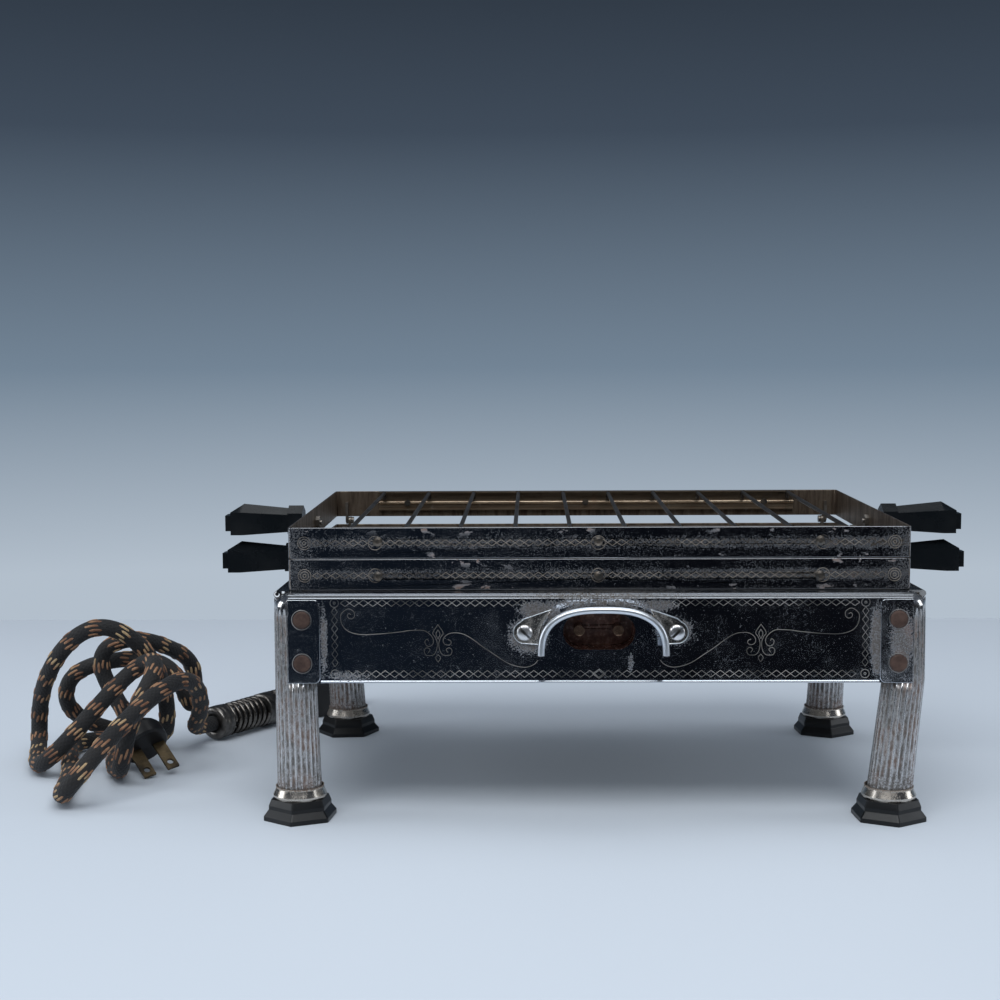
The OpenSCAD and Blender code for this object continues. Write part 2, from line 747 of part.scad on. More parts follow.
// Flat-headed rivet through a flange and its panel, its head towards -Y
module flange_rivet() {
    rotate([90, 0, 0]) {
        cylinder(h = rivet_h / 2, r = rivet_r);
        translate([0, 0, rivet_h / 2]) cylinder(h = rivet_h / 2, r1 = rivet_r, r2 = rivet_r * 0.8);
        translate([0, 0, -leg_t - panel_t]) cylinder(h = leg_t + panel_t, r = rivet_shank_r);
        translate([0, 0, -leg_t - panel_t - rivet_h]) cylinder(h = rivet_h, r = 1.6 * rivet_shank_r);
    }
}

module leg_rivets() {
    color(rust) stand() for (leg = legs) corner(leg) for (p = rivet_places()) {
        translate([p[0], -leg_face, p[1]]) flange_rivet();
        other_flange() translate([p[0], -leg_face, p[1]]) flange_rivet();
    }
}

// Arch of the hood seen from the front, its feet on z = 0
module arch(w, h, r) {
    intersection() {
        union() {
            translate([-w / 2, 0]) square([w, h - r]);
            translate([-w / 2 + r, 0]) square([w - 2 * r, h]);
            for (s = [-1, 1]) translate([s * (w / 2 - r), h - r]) circle(r);
        }
        translate([-w / 2, 0]) square([w, h]);
    }
}

// Quarter of a round lip that follows the hood's corner
module lip_corner() {
    rotate_extrude(angle = 90) translate([hood_corner - lip_r, 0]) circle(lip_r);
}

// Pressed hood over the inlet: arched guard, rolled lip and two screwed ears
module inlet_hood() {
    front = -box_d / 2 + leg_t;
    straight = hood_h - hood_corner;
    color(chrome) stand() translate([0, front, box_z + hood_z]) {
        upright(-hood_d, hood_d) difference() {
            arch(hood_w, hood_h, hood_corner);
            translate([0, -1]) arch(hood_w - 2 * hood_t, hood_h + 1 - hood_t, hood_corner - hood_t);
        }
        upright(-hood_t, hood_t) difference() {
            union() {
                for (s = [-1, 1]) hull() {
                    translate([s * ear_pitch / 2, ear_z - hood_z]) circle(ear_r);
                    translate([s * (hood_w / 2 - 3 * hood_t), ear_z - hood_z + 6]) circle(3);
                    translate([s * (hood_w / 2 - 3 * hood_t), ear_z - hood_z - 3]) circle(2);
                }
            }
            translate([0, -1]) arch(hood_w - 2 * hood_t, hood_h + 1 - hood_t, hood_corner - hood_t);
            for (s = [-1, 1]) translate([s * ear_pitch / 2, ear_z - hood_z]) circle(hood_screw_r + hole_gap);
        }
        translate([0, -hood_d, 0]) {
            for (s = [-1, 1]) {
                translate([s * (hood_w / 2 - lip_r), 0, 0]) {
                    cylinder(h = straight, r = lip_r);
                    sphere(lip_r);
                }
                translate([s * (hood_w / 2 - hood_corner), 0, straight])
                    rotate([90, s > 0 ? 0 : -90, 0]) lip_corner();
            }
            translate([-hood_w / 2 + hood_corner, 0, hood_h - lip_r])
                rotate([0, 90, 0])
                    cylinder(h = hood_w - 2 * hood_corner, r = lip_r);
        }
    }
}

module hood_screws() {
    color(chrome) stand() for (s = [-1, 1])
        translate([s * ear_pitch / 2, -box_d / 2 + leg_t - hood_t, box_z + ear_z])
            rotate([90, 0, 0]) {
                difference() {
                    intersection() {
                        cylinder(h = hood_head_r, r = hood_head_r);
                        translate([0, 0, -hood_head_r * 0.7]) sphere(hood_head_r * 1.22);
                    }
                    rotate([0, 0, s * 45])
                        translate([-hood_head_r, -0.5, hood_head_r * 0.25])
                            cube([2 * hood_head_r, 1, hood_head_r]);
                }
                translate([0, 0, -hood_t - panel_t - 4]) cylinder(h = hood_t + panel_t + 4, r = hood_screw_r);
                translate([0, 0, -hood_t - panel_t - 2.5]) nut(3.6 * hood_screw_r, 2.5, hood_screw_r);
            }
}

// Moulded socket behind the opening, with two bores in its floor for the pins
module inlet_block() {
    depth = socket_depth + block_floor;
    color([0.16, 0.1, 0.08]) stand() translate([0, block_y, box_z + inlet_z]) difference() {
        upright(0, depth) obround(inlet_w + 2 * block_wall, inlet_h + 2 * block_wall);
        upright(-1, socket_depth + 1) obround(inlet_w, inlet_h);
        for (s = [-1, 1])
            translate([s * pin_pitch / 2, 0, 0]) rotate([-90, 0, 0])
                cylinder(h = depth + 1, r = pin_tail_r + hole_gap);
    }
}

module inlet_pins() {
    color([0.6, 0.55, 0.45]) stand() for (s = [-1, 1])
        translate([s * pin_pitch / 2, block_y + socket_depth - pin_free, box_z + inlet_z])
            rotate([-90, 0, 0]) {
                cylinder(h = pin_free, r = pin_r);
                cylinder(h = pin_free + block_floor + pin_tail, r = pin_tail_r);
            }
}

module inlet_nuts() {
    color([0.6, 0.5, 0.3]) stand() for (s = [-1, 1])
        translate([s * pin_pitch / 2, block_y + socket_depth + block_floor, box_z + inlet_z])
            rotate([-90, 0, 0])
                nut(nut_w + 2, 2.6, pin_tail_r);
}

module reflector() {
    x = box_w / 2 - tray_gap;
    y = box_d / 2 - tray_gap;
    color([0.6, 0.58, 0.55]) stand() {
        translate([0, 0, tray_z]) difference() {
            translate([-x, -y, 0]) cube([2 * x, 2 * y, tray_t + tray_edge]);
            translate([-x + tray_t, -y + tray_t, tray_t])
                cube([2 * (x - tray_t), 2 * (y - tray_t), tray_edge + 1]);
        }
        for (sx = [-1, 1], sy = [-1, 1])
            translate([sx * (x - tray_foot_in), sy * box_d / 3, tray_z - tray_foot_h])
                cylinder(h = tray_foot_h + tray_t, r = 3);
    }
}

// Porcelain bars with a notch on top for each coil run
module element_bars() {
    len = (runs - 1) * run_pitch + bar_w;
    color(porcelain) stand() for (x = [-run_l / 2, 0, run_l / 2]) difference() {
        translate([x - bar_w / 2, run_shift - len / 2, tray_z + tray_t]) cube([bar_w, len, bar_h]);
        for (y = run_y)
            translate([x - bar_w, y, coil_z]) rotate([0, 90, 0])
                cylinder(h = 2 * bar_w, r = coil_r + hole_gap);
    }
}

// Heating coil laid to and fro in the bars' notches
module element_coil() {
    path = [for (i = [0 : runs - 1], s = [-1, 1]) [(i % 2 == 0 ? s : -s) * run_end, run_y[i], coil_z]];
    color([0.5, 0.47, 0.43]) stand() bent_wire(path, coil_r);
}

// Covered wires from the pins to the two ends of the coil
module lead_wires() {
    from_y = block_y + socket_depth + block_floor + pin_tail - lead_r;
    z = box_z + inlet_z + pin_tail_r + lead_r + 0.05;
    side = run_end + coil_r + lead_r + 0.5;
    color([0.75, 0.7, 0.6]) stand() {
        bent_wire([
            [-pin_pitch / 2, from_y, z],
            [-side, from_y, z],
            [-side, run_y[0] - coil_r, coil_z + lead_r],
            [-run_end + coil_r, run_y[0] - coil_r - lead_r - 0.25, coil_z + lead_r]
        ], lead_r);
        bent_wire([
            [pin_pitch / 2, from_y, z],
            [side, from_y, z],
            [side, run_y[runs - 1], coil_z + lead_r],
            [side, run_y[runs - 1] + 2 * lead_r, coil_z]
        ], lead_r);
    }
}

// Places the lower rack, drawn from the middle of its foot
module at_lower() {
    stand() translate([0, 0, rack_z]) children();
}

// Places the upper rack, tipped forward about its hinge so that its front rests on the lower rack
module at_upper() {
    stand() translate([0, hinge_y, hinge_z])
        rotate([tilt, 0, 0])
            translate([0, -hinge_y, hinge_rise])
                children();
}

// Turns a rack's fittings upside down
module flipped() {
    translate([0, 0, rack_h]) mirror([0, 0, 1]) children();
}

// Four-sided frame of a rack, bored for its strip rivets at rivet_z and for its handle rods at rod_z
module rack_frame(rivet_z, rod_z) {
    difference() {
        linear_extrude(rack_h) difference() {
            rounded(rack_w, rack_d, rack_r);
            rounded(2 * wall_x, 2 * wall_y, rack_r - rack_t);
        }
        for (x = rivet_xs)
            translate([x, -rack_d, rivet_z]) rotate([-90, 0, 0])
                cylinder(h = 2 * rack_d, r = strip_shank_r + hole_gap);
        translate([-rack_w, 0, rod_z]) rotate([0, 90, 0]) cylinder(h = 2 * rack_w, r = rod_r + hole_gap);
    }
}

// Beaded strip inside the front wall of a rack, notched for the wires
module strip() {
    notch = 2 * (wire_r + notch_gap);
    difference() {
        union() {
            translate([-strip_l / 2, -wall_y, rack_h - strip_h]) cube([strip_l, strip_t, strip_h]);
            translate([-strip_l / 2, -wall_y, rack_h - strip_t]) cube([strip_l, strip_w, strip_t]);
            translate([-strip_l / 2, -wall_y, rack_h - strip_h]) cube([strip_l, strip_w / 2, strip_t]);
            intersection() {
                translate([-strip_l / 2, -wall_y + strip_t, bead_z])
                    rotate([0, 90, 0])
                        cylinder(h = strip_l, r = strip_bead_r);
                translate([-strip_l, -wall_y, 0]) cube([2 * strip_l, strip_w, rack_h]);
            }
        }
        for (x = wire_x)
            translate([x - notch / 2, -wall_y + strip_t, rack_h - notch - strip_t])
                cube([notch, strip_w, 2 * notch]);
        for (x = rivet_xs)
            translate([x, -rack_d, bead_z]) rotate([-90, 0, 0])
                cylinder(h = rack_d, r = strip_shank_r + hole_gap);
    }
}

module wire_grid() {
    y = wall_y - strip_t - wire_r - 0.05;
    z = rack_h - wire_r - 0.1;
    for (x = wire_x)
        bent_wire([[x, -y, z - 3.4], [x, -y, z], [x, y, z], [x, y, z - 3.4]], wire_r);
}

// Rivets that hold a strip to the front wall
module strip_rivets() {
    back = rack_t + strip_t + strip_bead_r;
    for (x = rivet_xs) translate([x, -rack_d / 2, bead_z]) rotate([90, 0, 0]) {
        cylinder(h = strip_rivet_h / 2, r = strip_rivet_r);
        translate([0, 0, strip_rivet_h / 2])
            cylinder(h = strip_rivet_h / 2, r1 = strip_rivet_r, r2 = strip_rivet_r / 2);
        translate([0, 0, -back]) cylinder(h = back, r = strip_shank_r);
        translate([0, 0, -back - strip_rivet_h]) cylinder(h = strip_rivet_h, r = 1.7 * strip_shank_r);
    }
}

// Cross-section of the grip: upright sides under a pitched roof, its axis at mid height
module grip_section(share, roof) {
    polygon(share * [
        [grip_h / 2, -grip_w / 2],
        [grip_h / 2, grip_w / 2],
        [-grip_h / 2, grip_w / 2],
        [-grip_h / 2 - roof, 0],
        [-grip_h / 2, -grip_w / 2]
    ]);
}

// Moulded handle on the right of a rack: collar, tapered grip and end button, bored for its rod
module handle(gap) {
    collar_share = grip_taper + 2 * collar_step / grip_h;
    button_share = 1 - 2 * button_step / grip_h;
    translate([rack_w / 2 + gap, 0, 0]) rotate([0, 90, 0]) difference() {
        union() {
            linear_extrude(collar_l) grip_section(collar_share, grip_roof);
            hull() {
                translate([0, 0, collar_l]) linear_extrude(eps) grip_section(grip_taper, grip_roof);
                translate([0, 0, collar_l + grip_l - grip_hip])
                    linear_extrude(eps) grip_section(1, grip_roof);
                translate([0, 0, collar_l + grip_l]) linear_extrude(eps) grip_section(1, 0.1);
            }
            translate([0, 0, collar_l + grip_l]) linear_extrude(button_l) grip_section(button_share, 0.1);
        }
        translate([0, 0, -1]) cylinder(h = 1 + rod_depth, r = rod_r + hole_gap);
    }
}

// Threaded rods of a rack's two handles, with the nuts inside its walls
module handle_rods(gap) {
    in = nut_h + rack_t + 1;
    for (a = [0, 180]) rotate([0, 0, a]) {
        translate([rack_w / 2 - in, 0, 0])
            rotate([0, 90, 0])
                cylinder(h = in + gap + rod_depth - 1, r = rod_r);
        translate([wall_x - nut_h, 0, 0]) rotate([0, 90, 0]) nut(nut_w, nut_h, rod_r);
        translate([rack_w / 2, 0, 0]) rotate([0, 90, 0]) nut(nut_w, nut_h, rod_r);
    }
}

// Hinge lug inside the right rear corner of a rack, its bore on the hinge axis below the frame
module lug(x) {
    translate([x, 0, 0]) rotate([90, 0, 90]) linear_extrude(lug_t) difference() {
        union() {
            translate([wall_y - lug_w, -hinge_rise]) square([lug_w, hinge_rise + lug_l]);
            translate([hinge_y, -hinge_rise]) circle(lug_r);
        }
        translate([hinge_y, -hinge_rise]) circle(hinge_pin_r + hinge_gap);
    }
}

module lower_frame() {
    color(dark_plate) at_lower() rack_frame(rack_h - bead_z, lower_rod_z);
}

module upper_frame() {
    color(dark_plate) at_upper() rack_frame(bead_z, upper_rod_z);
}

module lower_front_strip() {
    color(tarnish) at_lower() flipped() strip();
}

module lower_rear_strip() {
    color(tarnish) at_lower() flipped() rotate([0, 0, 180]) strip();
}

module upper_front_strip() {
    color(tarnish) at_upper() strip();
}

module upper_rear_strip() {
    color(tarnish) at_upper() rotate([0, 0, 180]) strip();
}

module lower_wires() {
    color(tarnish) at_lower() flipped() wire_grid();
}

module upper_wires() {
    color(tarnish) at_upper() wire_grid();
}

module lower_rivets() {
    color(tarnish) at_lower() flipped() for (a = [0, 180]) rotate([0, 0, a]) strip_rivets();
}

module upper_rivets() {
    color(tarnish) at_upper() for (a = [0, 180]) rotate([0, 0, a]) strip_rivets();
}

module lower_handle(turn) {
    color(bakelite) at_lower() translate([0, 0, lower_rod_z]) rotate([0, 0, turn])
        handle(lower_handle_gap);
}

module upper_handle(turn) {
    color(bakelite) at_upper() translate([0, 0, upper_rod_z]) rotate([0, 0, turn])
        handle(upper_handle_gap);
}

module lower_handle_rods() {
    color(tarnish) at_lower() translate([0, 0, lower_rod_z]) handle_rods(lower_handle_gap);
}

module upper_handle_rods() {
    color(tarnish) at_upper() translate([0, 0, upper_rod_z]) handle_rods(upper_handle_gap);
}

module lower_hinge_lugs() {
    color(tarnish) at_lower() for (m = [0, 1])
        mirror([m, 0, 0]) flipped() lug(lug_x - 2 * lug_t - lug_gap);
}

module upper_hinge_lugs() {
    color(tarnish) at_upper() for (m = [0, 1]) mirror([m, 0, 0]) lug(lug_x - lug_t);
}

module hinge_pins() {
    color(tarnish) stand() for (m = [0, 1]) mirror([m, 0, 0])
        translate([lug_x + 0.3, hinge_y, hinge_z]) rotate([0, -90, 0]) {
            cylinder(h = 2 * lug_t + lug_gap + 0.6, r = hinge_pin_r);
            translate([0, 0, 2 * lug_t + lug_gap + 0.4]) cylinder(h = hinge_head_h, r = hinge_head_r);
        }
}

// One closed tube of radius r along a line of points
module tube(line, r, sides) {
    n = len(line);
    way = ways(line);
    side = sides_of(way);
    points = [
        for (i = [0 : n - 1], k = [0 : sides - 1])
            let (a = 360 * k / sides)
            line[i] + r * (cos(a) * side[i] + sin(a) * cross(way[i], side[i]))
    ];
    wall = [
        for (i = [0 : n - 2], k = [0 : sides - 1], half = [0, 1])
            let (a = i * sides + k, b = i * sides + (k + 1) % sides)
            half == 0 ? [a, b + sides, b] : [a, a + sides, b + sides]
    ];
    ends = [
        for (k = [1 : sides - 2], last = [0, 1])
            let (a = last * (n - 1) * sides)
            last == 0 ? [a, a + k, a + k + 1] : [a, a + k + 1, a + k]
    ];
    polyhedron(points = points, faces = concat(wall, ends));
}

// Places a shape drawn up the Z axis at a, pointing along way
module along(a, way) {
    translate(a) rotate([0, acos(way[2]), atan2(way[1], way[0])]) children();
}

// Line of an open coil between two faces a distance l apart, its ends square to them
function coil_line(l, turns, r1, r2) =
    let (steps = 8 * turns, from = guard_wire + 1, rise = l - 2 * from)
    concat(
        [[r1, 0, 0], [r1, 0, guard_wire]],
        [for (i = [0 : steps])
            let (r = r1 + (r2 - r1) * i / steps)
            [r * cos(45 * i), r * sin(45 * i), from + rise * i / steps]],
        [[r2, 0, l - guard_wire], [r2, 0, l]]
    );

module ring(r, bore_r, h) {
    difference() {
        cylinder(h = h, r = r);
        translate([0, 0, -1]) cylinder(h = h + 2, r = bore_r);
    }
}

// Outer radius of the guard at a distance from the ferrule's free end
function guard_r(at) = guard_r1 + (guard_r2 - guard_r1) * (at - ferrule_l) / (guard_l - ferrule_l);

module cord() {
    color([0.09, 0.08, 0.075]) tube(cord_line, cord_d / 2, 8);
}

module guard_ferrule() {
    color([0.24, 0.23, 0.22]) along(guard_at, guard_way) ring(ferrule_r, cord_d / 2 + cord_gap, ferrule_l);
}

module guard_spring() {
    from = guard_r(ferrule_l) - guard_wire / 2;
    to = guard_r(ferrule_l + curls_l) - guard_wire / 2;
    color([0.24, 0.23, 0.22]) along(guard_at + guard_way * ferrule_l, guard_way)
        tube(coil_line(curls_l, curls, from, to), guard_wire / 2, 6);
}

module guard_band() {
    at = ferrule_l + curls_l;
    color([0.24, 0.23, 0.22]) along(guard_at + guard_way * at, guard_way)
        ring(guard_r(at + band_l), cord_d / 2 + cord_gap, band_l);
}

module guard_tail_spring() {
    at = ferrule_l + curls_l + band_l;
    from = guard_r(at) - guard_wire / 2;
    color([0.24, 0.23, 0.22]) along(guard_at + guard_way * at, guard_way)
        tube(coil_line(tail_l, tail_curls, from, guard_r2 - guard_wire / 2), guard_wire / 2, 6);
}

// Places of the connector's screws along its length
function screw_places() = [connector_taper, connector_l - 10];

module connector_body() {
    color(bakelite) along(guard_at + guard_way * guard_l, guard_way) difference() {
        intersection() {
            translate([-connector_h / 2, 0, 0]) rotate([90, 0, 90]) linear_extrude(connector_h) polygon([
                [-connector_neck / 2, 0],
                [connector_neck / 2, 0],
                [connector_w / 2, connector_taper],
                [connector_w / 2, connector_l],
                [-connector_w / 2, connector_l],
                [-connector_w / 2, connector_taper]
            ]);
            linear_extrude(connector_l) rounded(connector_h, connector_w, 5);
        }
        for (s = [-1, 1]) translate([0, s * pin_pitch / 2, connector_l - socket_l])
            cylinder(h = socket_l + 1, r = pin_r + socket_gap);
        for (z = screw_places()) translate([-connector_h, 0, z])
            rotate([0, 90, 0]) cylinder(h = 2 * connector_h, r = connector_screw_r + hole_gap);
        for (z = screw_places(), s = [-1, 1]) translate([s * connector_h / 2, 0, z])
            rotate([0, 90, 0]) cylinder(h = 3, r = connector_head_r + 0.2, center = true);
    }
}

module connector_screws() {
    reach = connector_h / 2 - 1.5;
    color([0.6, 0.5, 0.3]) along(guard_at + guard_way * guard_l, guard_way)
        for (z = screw_places()) translate([-reach, 0, z]) rotate([0, 90, 0]) {
            translate([0, 0, -1.2]) cylinder(h = 1.2, r = connector_head_r);
            cylinder(h = 2 * reach, r = connector_screw_r);
            translate([0, 0, 2 * reach]) cylinder(h = 1.2, r = connector_head_r, $fn = 6);
        }
}

// Outline of a blade seen flat, with its hole
module blade_shape(grow) {
    difference() {
        translate([-blade_w / 2 - grow, 0]) square([blade_w + 2 * grow, blade_root + blade_l]);
        translate([0, blade_root + blade_l - 4]) circle(1.6);
    }
}

module blade_pair(grow) {
    rotate([0, 0, plug_turn]) for (s = [-1, 1])
        translate([-blade_t / 2 - grow, s * blade_pitch / 2, plug_l - blade_root])
            rotate([90, 0, 90])
                linear_extrude(blade_t + 2 * grow) blade_shape(grow);
}

module plug_body() {
    color(bakelite) along(route[0], plug_way) difference() {
        rotate_extrude() polygon([
            [0, 0],
            [plug_neck_r, 0],
            [plug_neck_r, 3],
            [plug_r - 1, 8],
            [plug_r, 10],
            [plug_r, plug_l - 1],
            [plug_r - 1, plug_l],
            [0, plug_l]
        ]);
        blade_pair(hole_gap);
    }
}

module plug_blades() {
    color([0.3, 0.26, 0.2]) along(route[0], plug_way) blade_pair(0);
}

front_panel();
rear_panel();
left_panel();
right_panel();
top_rim();
bottom_plate();
leg(legs[0]);  // front_left_leg
leg(legs[1]);  // front_right_leg
leg(legs[2]);  // rear_left_leg
leg(legs[3]);  // rear_right_leg
base_ring(legs[0]);  // front_left_ring
base_ring(legs[1]);  // front_right_ring
base_ring(legs[2]);  // rear_left_ring
base_ring(legs[3]);  // rear_right_ring
foot(legs[0]);  // front_left_foot
foot(legs[1]);  // front_right_foot
foot(legs[2]);  // rear_left_foot
foot(legs[3]);  // rear_right_foot
foot_screws();
leg_rivets();
inlet_hood();
hood_screws();
inlet_block();
inlet_pins();
inlet_nuts();
reflector();
element_bars();
element_coil();
lead_wires();
lower_frame();
lower_front_strip();
lower_rear_strip();
lower_wires();
lower_rivets();
lower_handle(180);  // lower_left_handle
lower_handle(0);  // lower_right_handle
lower_handle_rods();
lower_hinge_lugs();
upper_frame();
upper_front_strip();
upper_rear_strip();
upper_wires();
upper_rivets();
upper_handle(180);  // upper_left_handle
upper_handle(0);  // upper_right_handle
upper_handle_rods();
upper_hinge_lugs();
hinge_pins();
cord();
guard_ferrule();
guard_spring();
guard_band();
guard_tail_spring();
connector_body();
connector_screws();
plug_body();
plug_blades();
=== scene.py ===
import math
from math import sin, cos, pi, radians, sqrt

import bpy
import bmesh
from mathutils import Vector, Matrix, noise


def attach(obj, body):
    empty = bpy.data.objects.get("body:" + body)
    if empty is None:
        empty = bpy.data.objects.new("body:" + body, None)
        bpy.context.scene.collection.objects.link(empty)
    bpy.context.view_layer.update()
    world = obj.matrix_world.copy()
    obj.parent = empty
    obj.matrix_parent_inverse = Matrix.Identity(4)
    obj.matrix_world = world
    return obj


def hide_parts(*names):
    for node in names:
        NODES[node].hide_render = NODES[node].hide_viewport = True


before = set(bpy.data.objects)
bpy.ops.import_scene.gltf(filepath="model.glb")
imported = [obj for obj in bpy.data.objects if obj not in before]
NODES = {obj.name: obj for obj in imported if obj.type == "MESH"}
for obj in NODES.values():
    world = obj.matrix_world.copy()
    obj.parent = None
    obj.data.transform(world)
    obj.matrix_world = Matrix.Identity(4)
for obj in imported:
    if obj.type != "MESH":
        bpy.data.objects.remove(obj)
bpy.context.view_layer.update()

MM = 0.001
STAND_Y = 3.271
scene = bpy.context.scene
scene.view_settings.view_transform = "Standard"
scene.view_settings.look = "None"


# Camera, lights and floor

def look_camera():
    data = bpy.data.cameras.new("camera")
    data.lens = 55.85
    data.sensor_width = 36
    data.clip_start = 0.05
    data.clip_end = 30
    obj = bpy.data.objects.new("camera", data)
    scene.collection.objects.link(obj)
    yaw, pitch, roll = radians(1.2), radians(4.43), radians(-0.29)
    ahead = Vector((-sin(yaw) * cos(pitch), cos(yaw) * cos(pitch), -sin(pitch)))
    right = Vector((cos(yaw), sin(yaw), 0))
    up = right.cross(ahead)
    r2 = right * cos(roll) + up * sin(roll)
    u2 = up * cos(roll) - right * sin(roll)
    m = Matrix((r2, u2, -ahead)).transposed().to_4x4()
    m.translation = Vector((-29.4, -773.2, 197.7)) * MM
    obj.matrix_world = m
    scene.camera = obj


look_camera()


def area_light(name, place, aim, size, power, color=(1, 1, 1), spread=180):
    data = bpy.data.lights.new(name, "AREA")
    data.shape = "RECTANGLE"
    data.size, data.size_y = size
    data.energy = power
    data.color = color
    data.spread = radians(spread)
    obj = bpy.data.objects.new(name, data)
    scene.collection.objects.link(obj)
    obj.location = place
    way = Vector(aim) - Vector(place)
    obj.rotation_euler = way.to_track_quat("-Z", "Y").to_euler()
    return obj


area_light("main_softbox", (-0.12, -0.98, 1.42), (0, 0.05, 0.05), (1.7, 0.8), 21, (0.95, 0.98, 1))
area_light("top_softbox", (0.1, 0.25, 1.7), (0, 0.05, 0.05), (1.6, 0.9), 6, (0.95, 0.98, 1))
area_light("left_softbox", (-1.25, -0.15, 0.42), (0, 0, 0.08), (0.5, 0.75), 4.2, (0.9, 0.95, 1))
area_light("right_softbox", (1.3, -0.1, 0.45), (0, 0, 0.08), (0.45, 0.75), 3.4, (0.9, 0.95, 1))


class Graph:
    """Small helper that builds node graphs."""

    def __init__(self, tree):
        self.tree = tree
        self.tree.nodes.clear()

    def node(self, kind, **values):
        n = self.tree.nodes.new(kind)
        for key, value in values.items():
            setattr(n, key, value)
        return n

    def put(self, socket, value):
        if isinstance(value, bpy.types.NodeSocket):
            self.tree.links.new(value, socket)
        elif isinstance(value, (tuple, list)) and len(value) == 3 and len(socket.default_value) == 4:
            socket.default_value = (*value, 1)
        else:
            socket.default_value = value

    def math(self, op, a, b=0.5, c=0.5, clamp=False):
        n = self.node("ShaderNodeMath", operation=op, use_clamp=clamp)
        for socket, value in zip(n.inputs, (a, b, c)):
            self.put(socket, value)
        return n.outputs[0]

    def mix(self, share, a, b, kind="RGBA", blend="MIX"):
        n = self.node("ShaderNodeMix", data_type=kind)
        if kind == "RGBA":
            n.blend_type = blend
            self.put(n.inputs[0], share)
            self.put(n.inputs[6], a)
            self.put(n.inputs[7], b)
            return n.outputs[2]
        self.put(n.inputs[0], share)
        self.put(n.inputs[2], a)
        self.put(n.inputs[3], b)
        return n.outputs[0]

    def ramp(self, share, low, high):
        n = self.node("ShaderNodeMapRange", interpolation_type="SMOOTHSTEP")
        self.put(n.inputs[0], share)
        n.inputs[1].default_value = low
        n.inputs[2].default_value = high
        return n.outputs[0]

    def noise(self, at, scale, detail=3, rough=0.55, stretch=None, distort=0.0):
        if stretch:
            m = self.node("ShaderNodeMapping")
            self.put(m.inputs[0], at)
            m.inputs[3].default_value = stretch
            at = m.outputs[0]
        n = self.node("ShaderNodeTexNoise")
        self.put(n.inputs["Vector"], at)
        n.inputs["Scale"].default_value = scale
        n.inputs["Detail"].default_value = detail
        n.inputs["Roughness"].default_value = rough
        n.inputs["Distortion"].default_value = distort
        return n.outputs[0]

    def specks(self, at, scale, size):
        n = self.node("ShaderNodeTexVoronoi", feature="F1")
        self.put(n.inputs["Vector"], at)
        n.inputs["Scale"].default_value = scale
        return self.ramp(n.outputs["Distance"], size, size * 0.55)


def make_world():
    world = bpy.data.worlds.new("studio")
    scene.world = world
    world.use_nodes = True
    g = Graph(world.node_tree)
    coord = g.node("ShaderNodeTexCoord")
    split = g.node("ShaderNodeSeparateXYZ")
    g.put(split.inputs[0], coord.outputs["Generated"])
    z = split.outputs[2]
    backdrop = g.node("ShaderNodeValToRGB")
    stops = backdrop.color_ramp.elements
    stops[0].position = 0.1
    stops[0].color = (0.45, 0.52, 0.6, 1)
    stops[1].position = 1.0
    stops[1].color = (0.025, 0.035, 0.05, 1)
    for place, color in ((0.4, (0.17, 0.23, 0.3)), (0.75, (0.05, 0.07, 0.1))):
        e = stops.new(place)
        e.color = (*color, 1)
    g.put(backdrop.inputs[0], g.ramp_linear(z, -0.16, 0.26))
    dark = g.mix(g.ramp(split.outputs[0], -0.12, 0.12), (0.007, 0.0105, 0.017), (0.0035, 0.004, 0.006))
    studio = g.mix(g.ramp(z, 0.1, 0.7), dark, (0.05, 0.062, 0.085))
    path = g.node("ShaderNodeLightPath")
    behind = g.mix(g.ramp(split.outputs[1], 0.1, 0.5), studio, backdrop.outputs[0])
    mirror = g.mix(path.outputs["Is Diffuse Ray"], behind, (0.345, 0.39, 0.45))
    color = g.mix(path.outputs["Is Camera Ray"], mirror, backdrop.outputs[0])
    back = g.node("ShaderNodeBackground")
    g.put(back.inputs[0], color)
    out = g.node("ShaderNodeOutputWorld")
    g.put(out.inputs[0], back.outputs[0])


def ramp_linear(self, share, low, high):
    n = self.node("ShaderNodeMapRange")
    self.put(n.inputs[0], share)
    n.inputs[1].default_value = low
    n.inputs[2].default_value = high
    return n.outputs[0]


Graph.ramp_linear = ramp_linear
make_world()


def new_material(name, base, metallic=0.0, roughness=0.5):
    """A material, its graph, its shader and the object's own coordinates."""
    mat = bpy.data.materials.new(name)
    mat.use_nodes = True
    g = Graph(mat.node_tree)
    shader = g.node("ShaderNodeBsdfPrincipled")
    out = g.node("ShaderNodeOutputMaterial")
    g.put(out.inputs[0], shader.outputs[0])
    shader.inputs["Base Color"].default_value = (*base, 1)
    shader.inputs["Metallic"].default_value = metallic
    shader.inputs["Roughness"].default_value = roughness
    at = g.node("ShaderNodeTexCoord").outputs["Object"]
    return mat, g, shader, at


def bump(g, shader, height, strength=0.3, distance=0.0004):
    n = g.node("ShaderNodeBump")
    n.inputs["Strength"].default_value = strength
    n.inputs["Distance"].default_value = distance
    g.put(n.inputs["Height"], height)
    g.put(shader.inputs["Normal"], n.outputs[0])


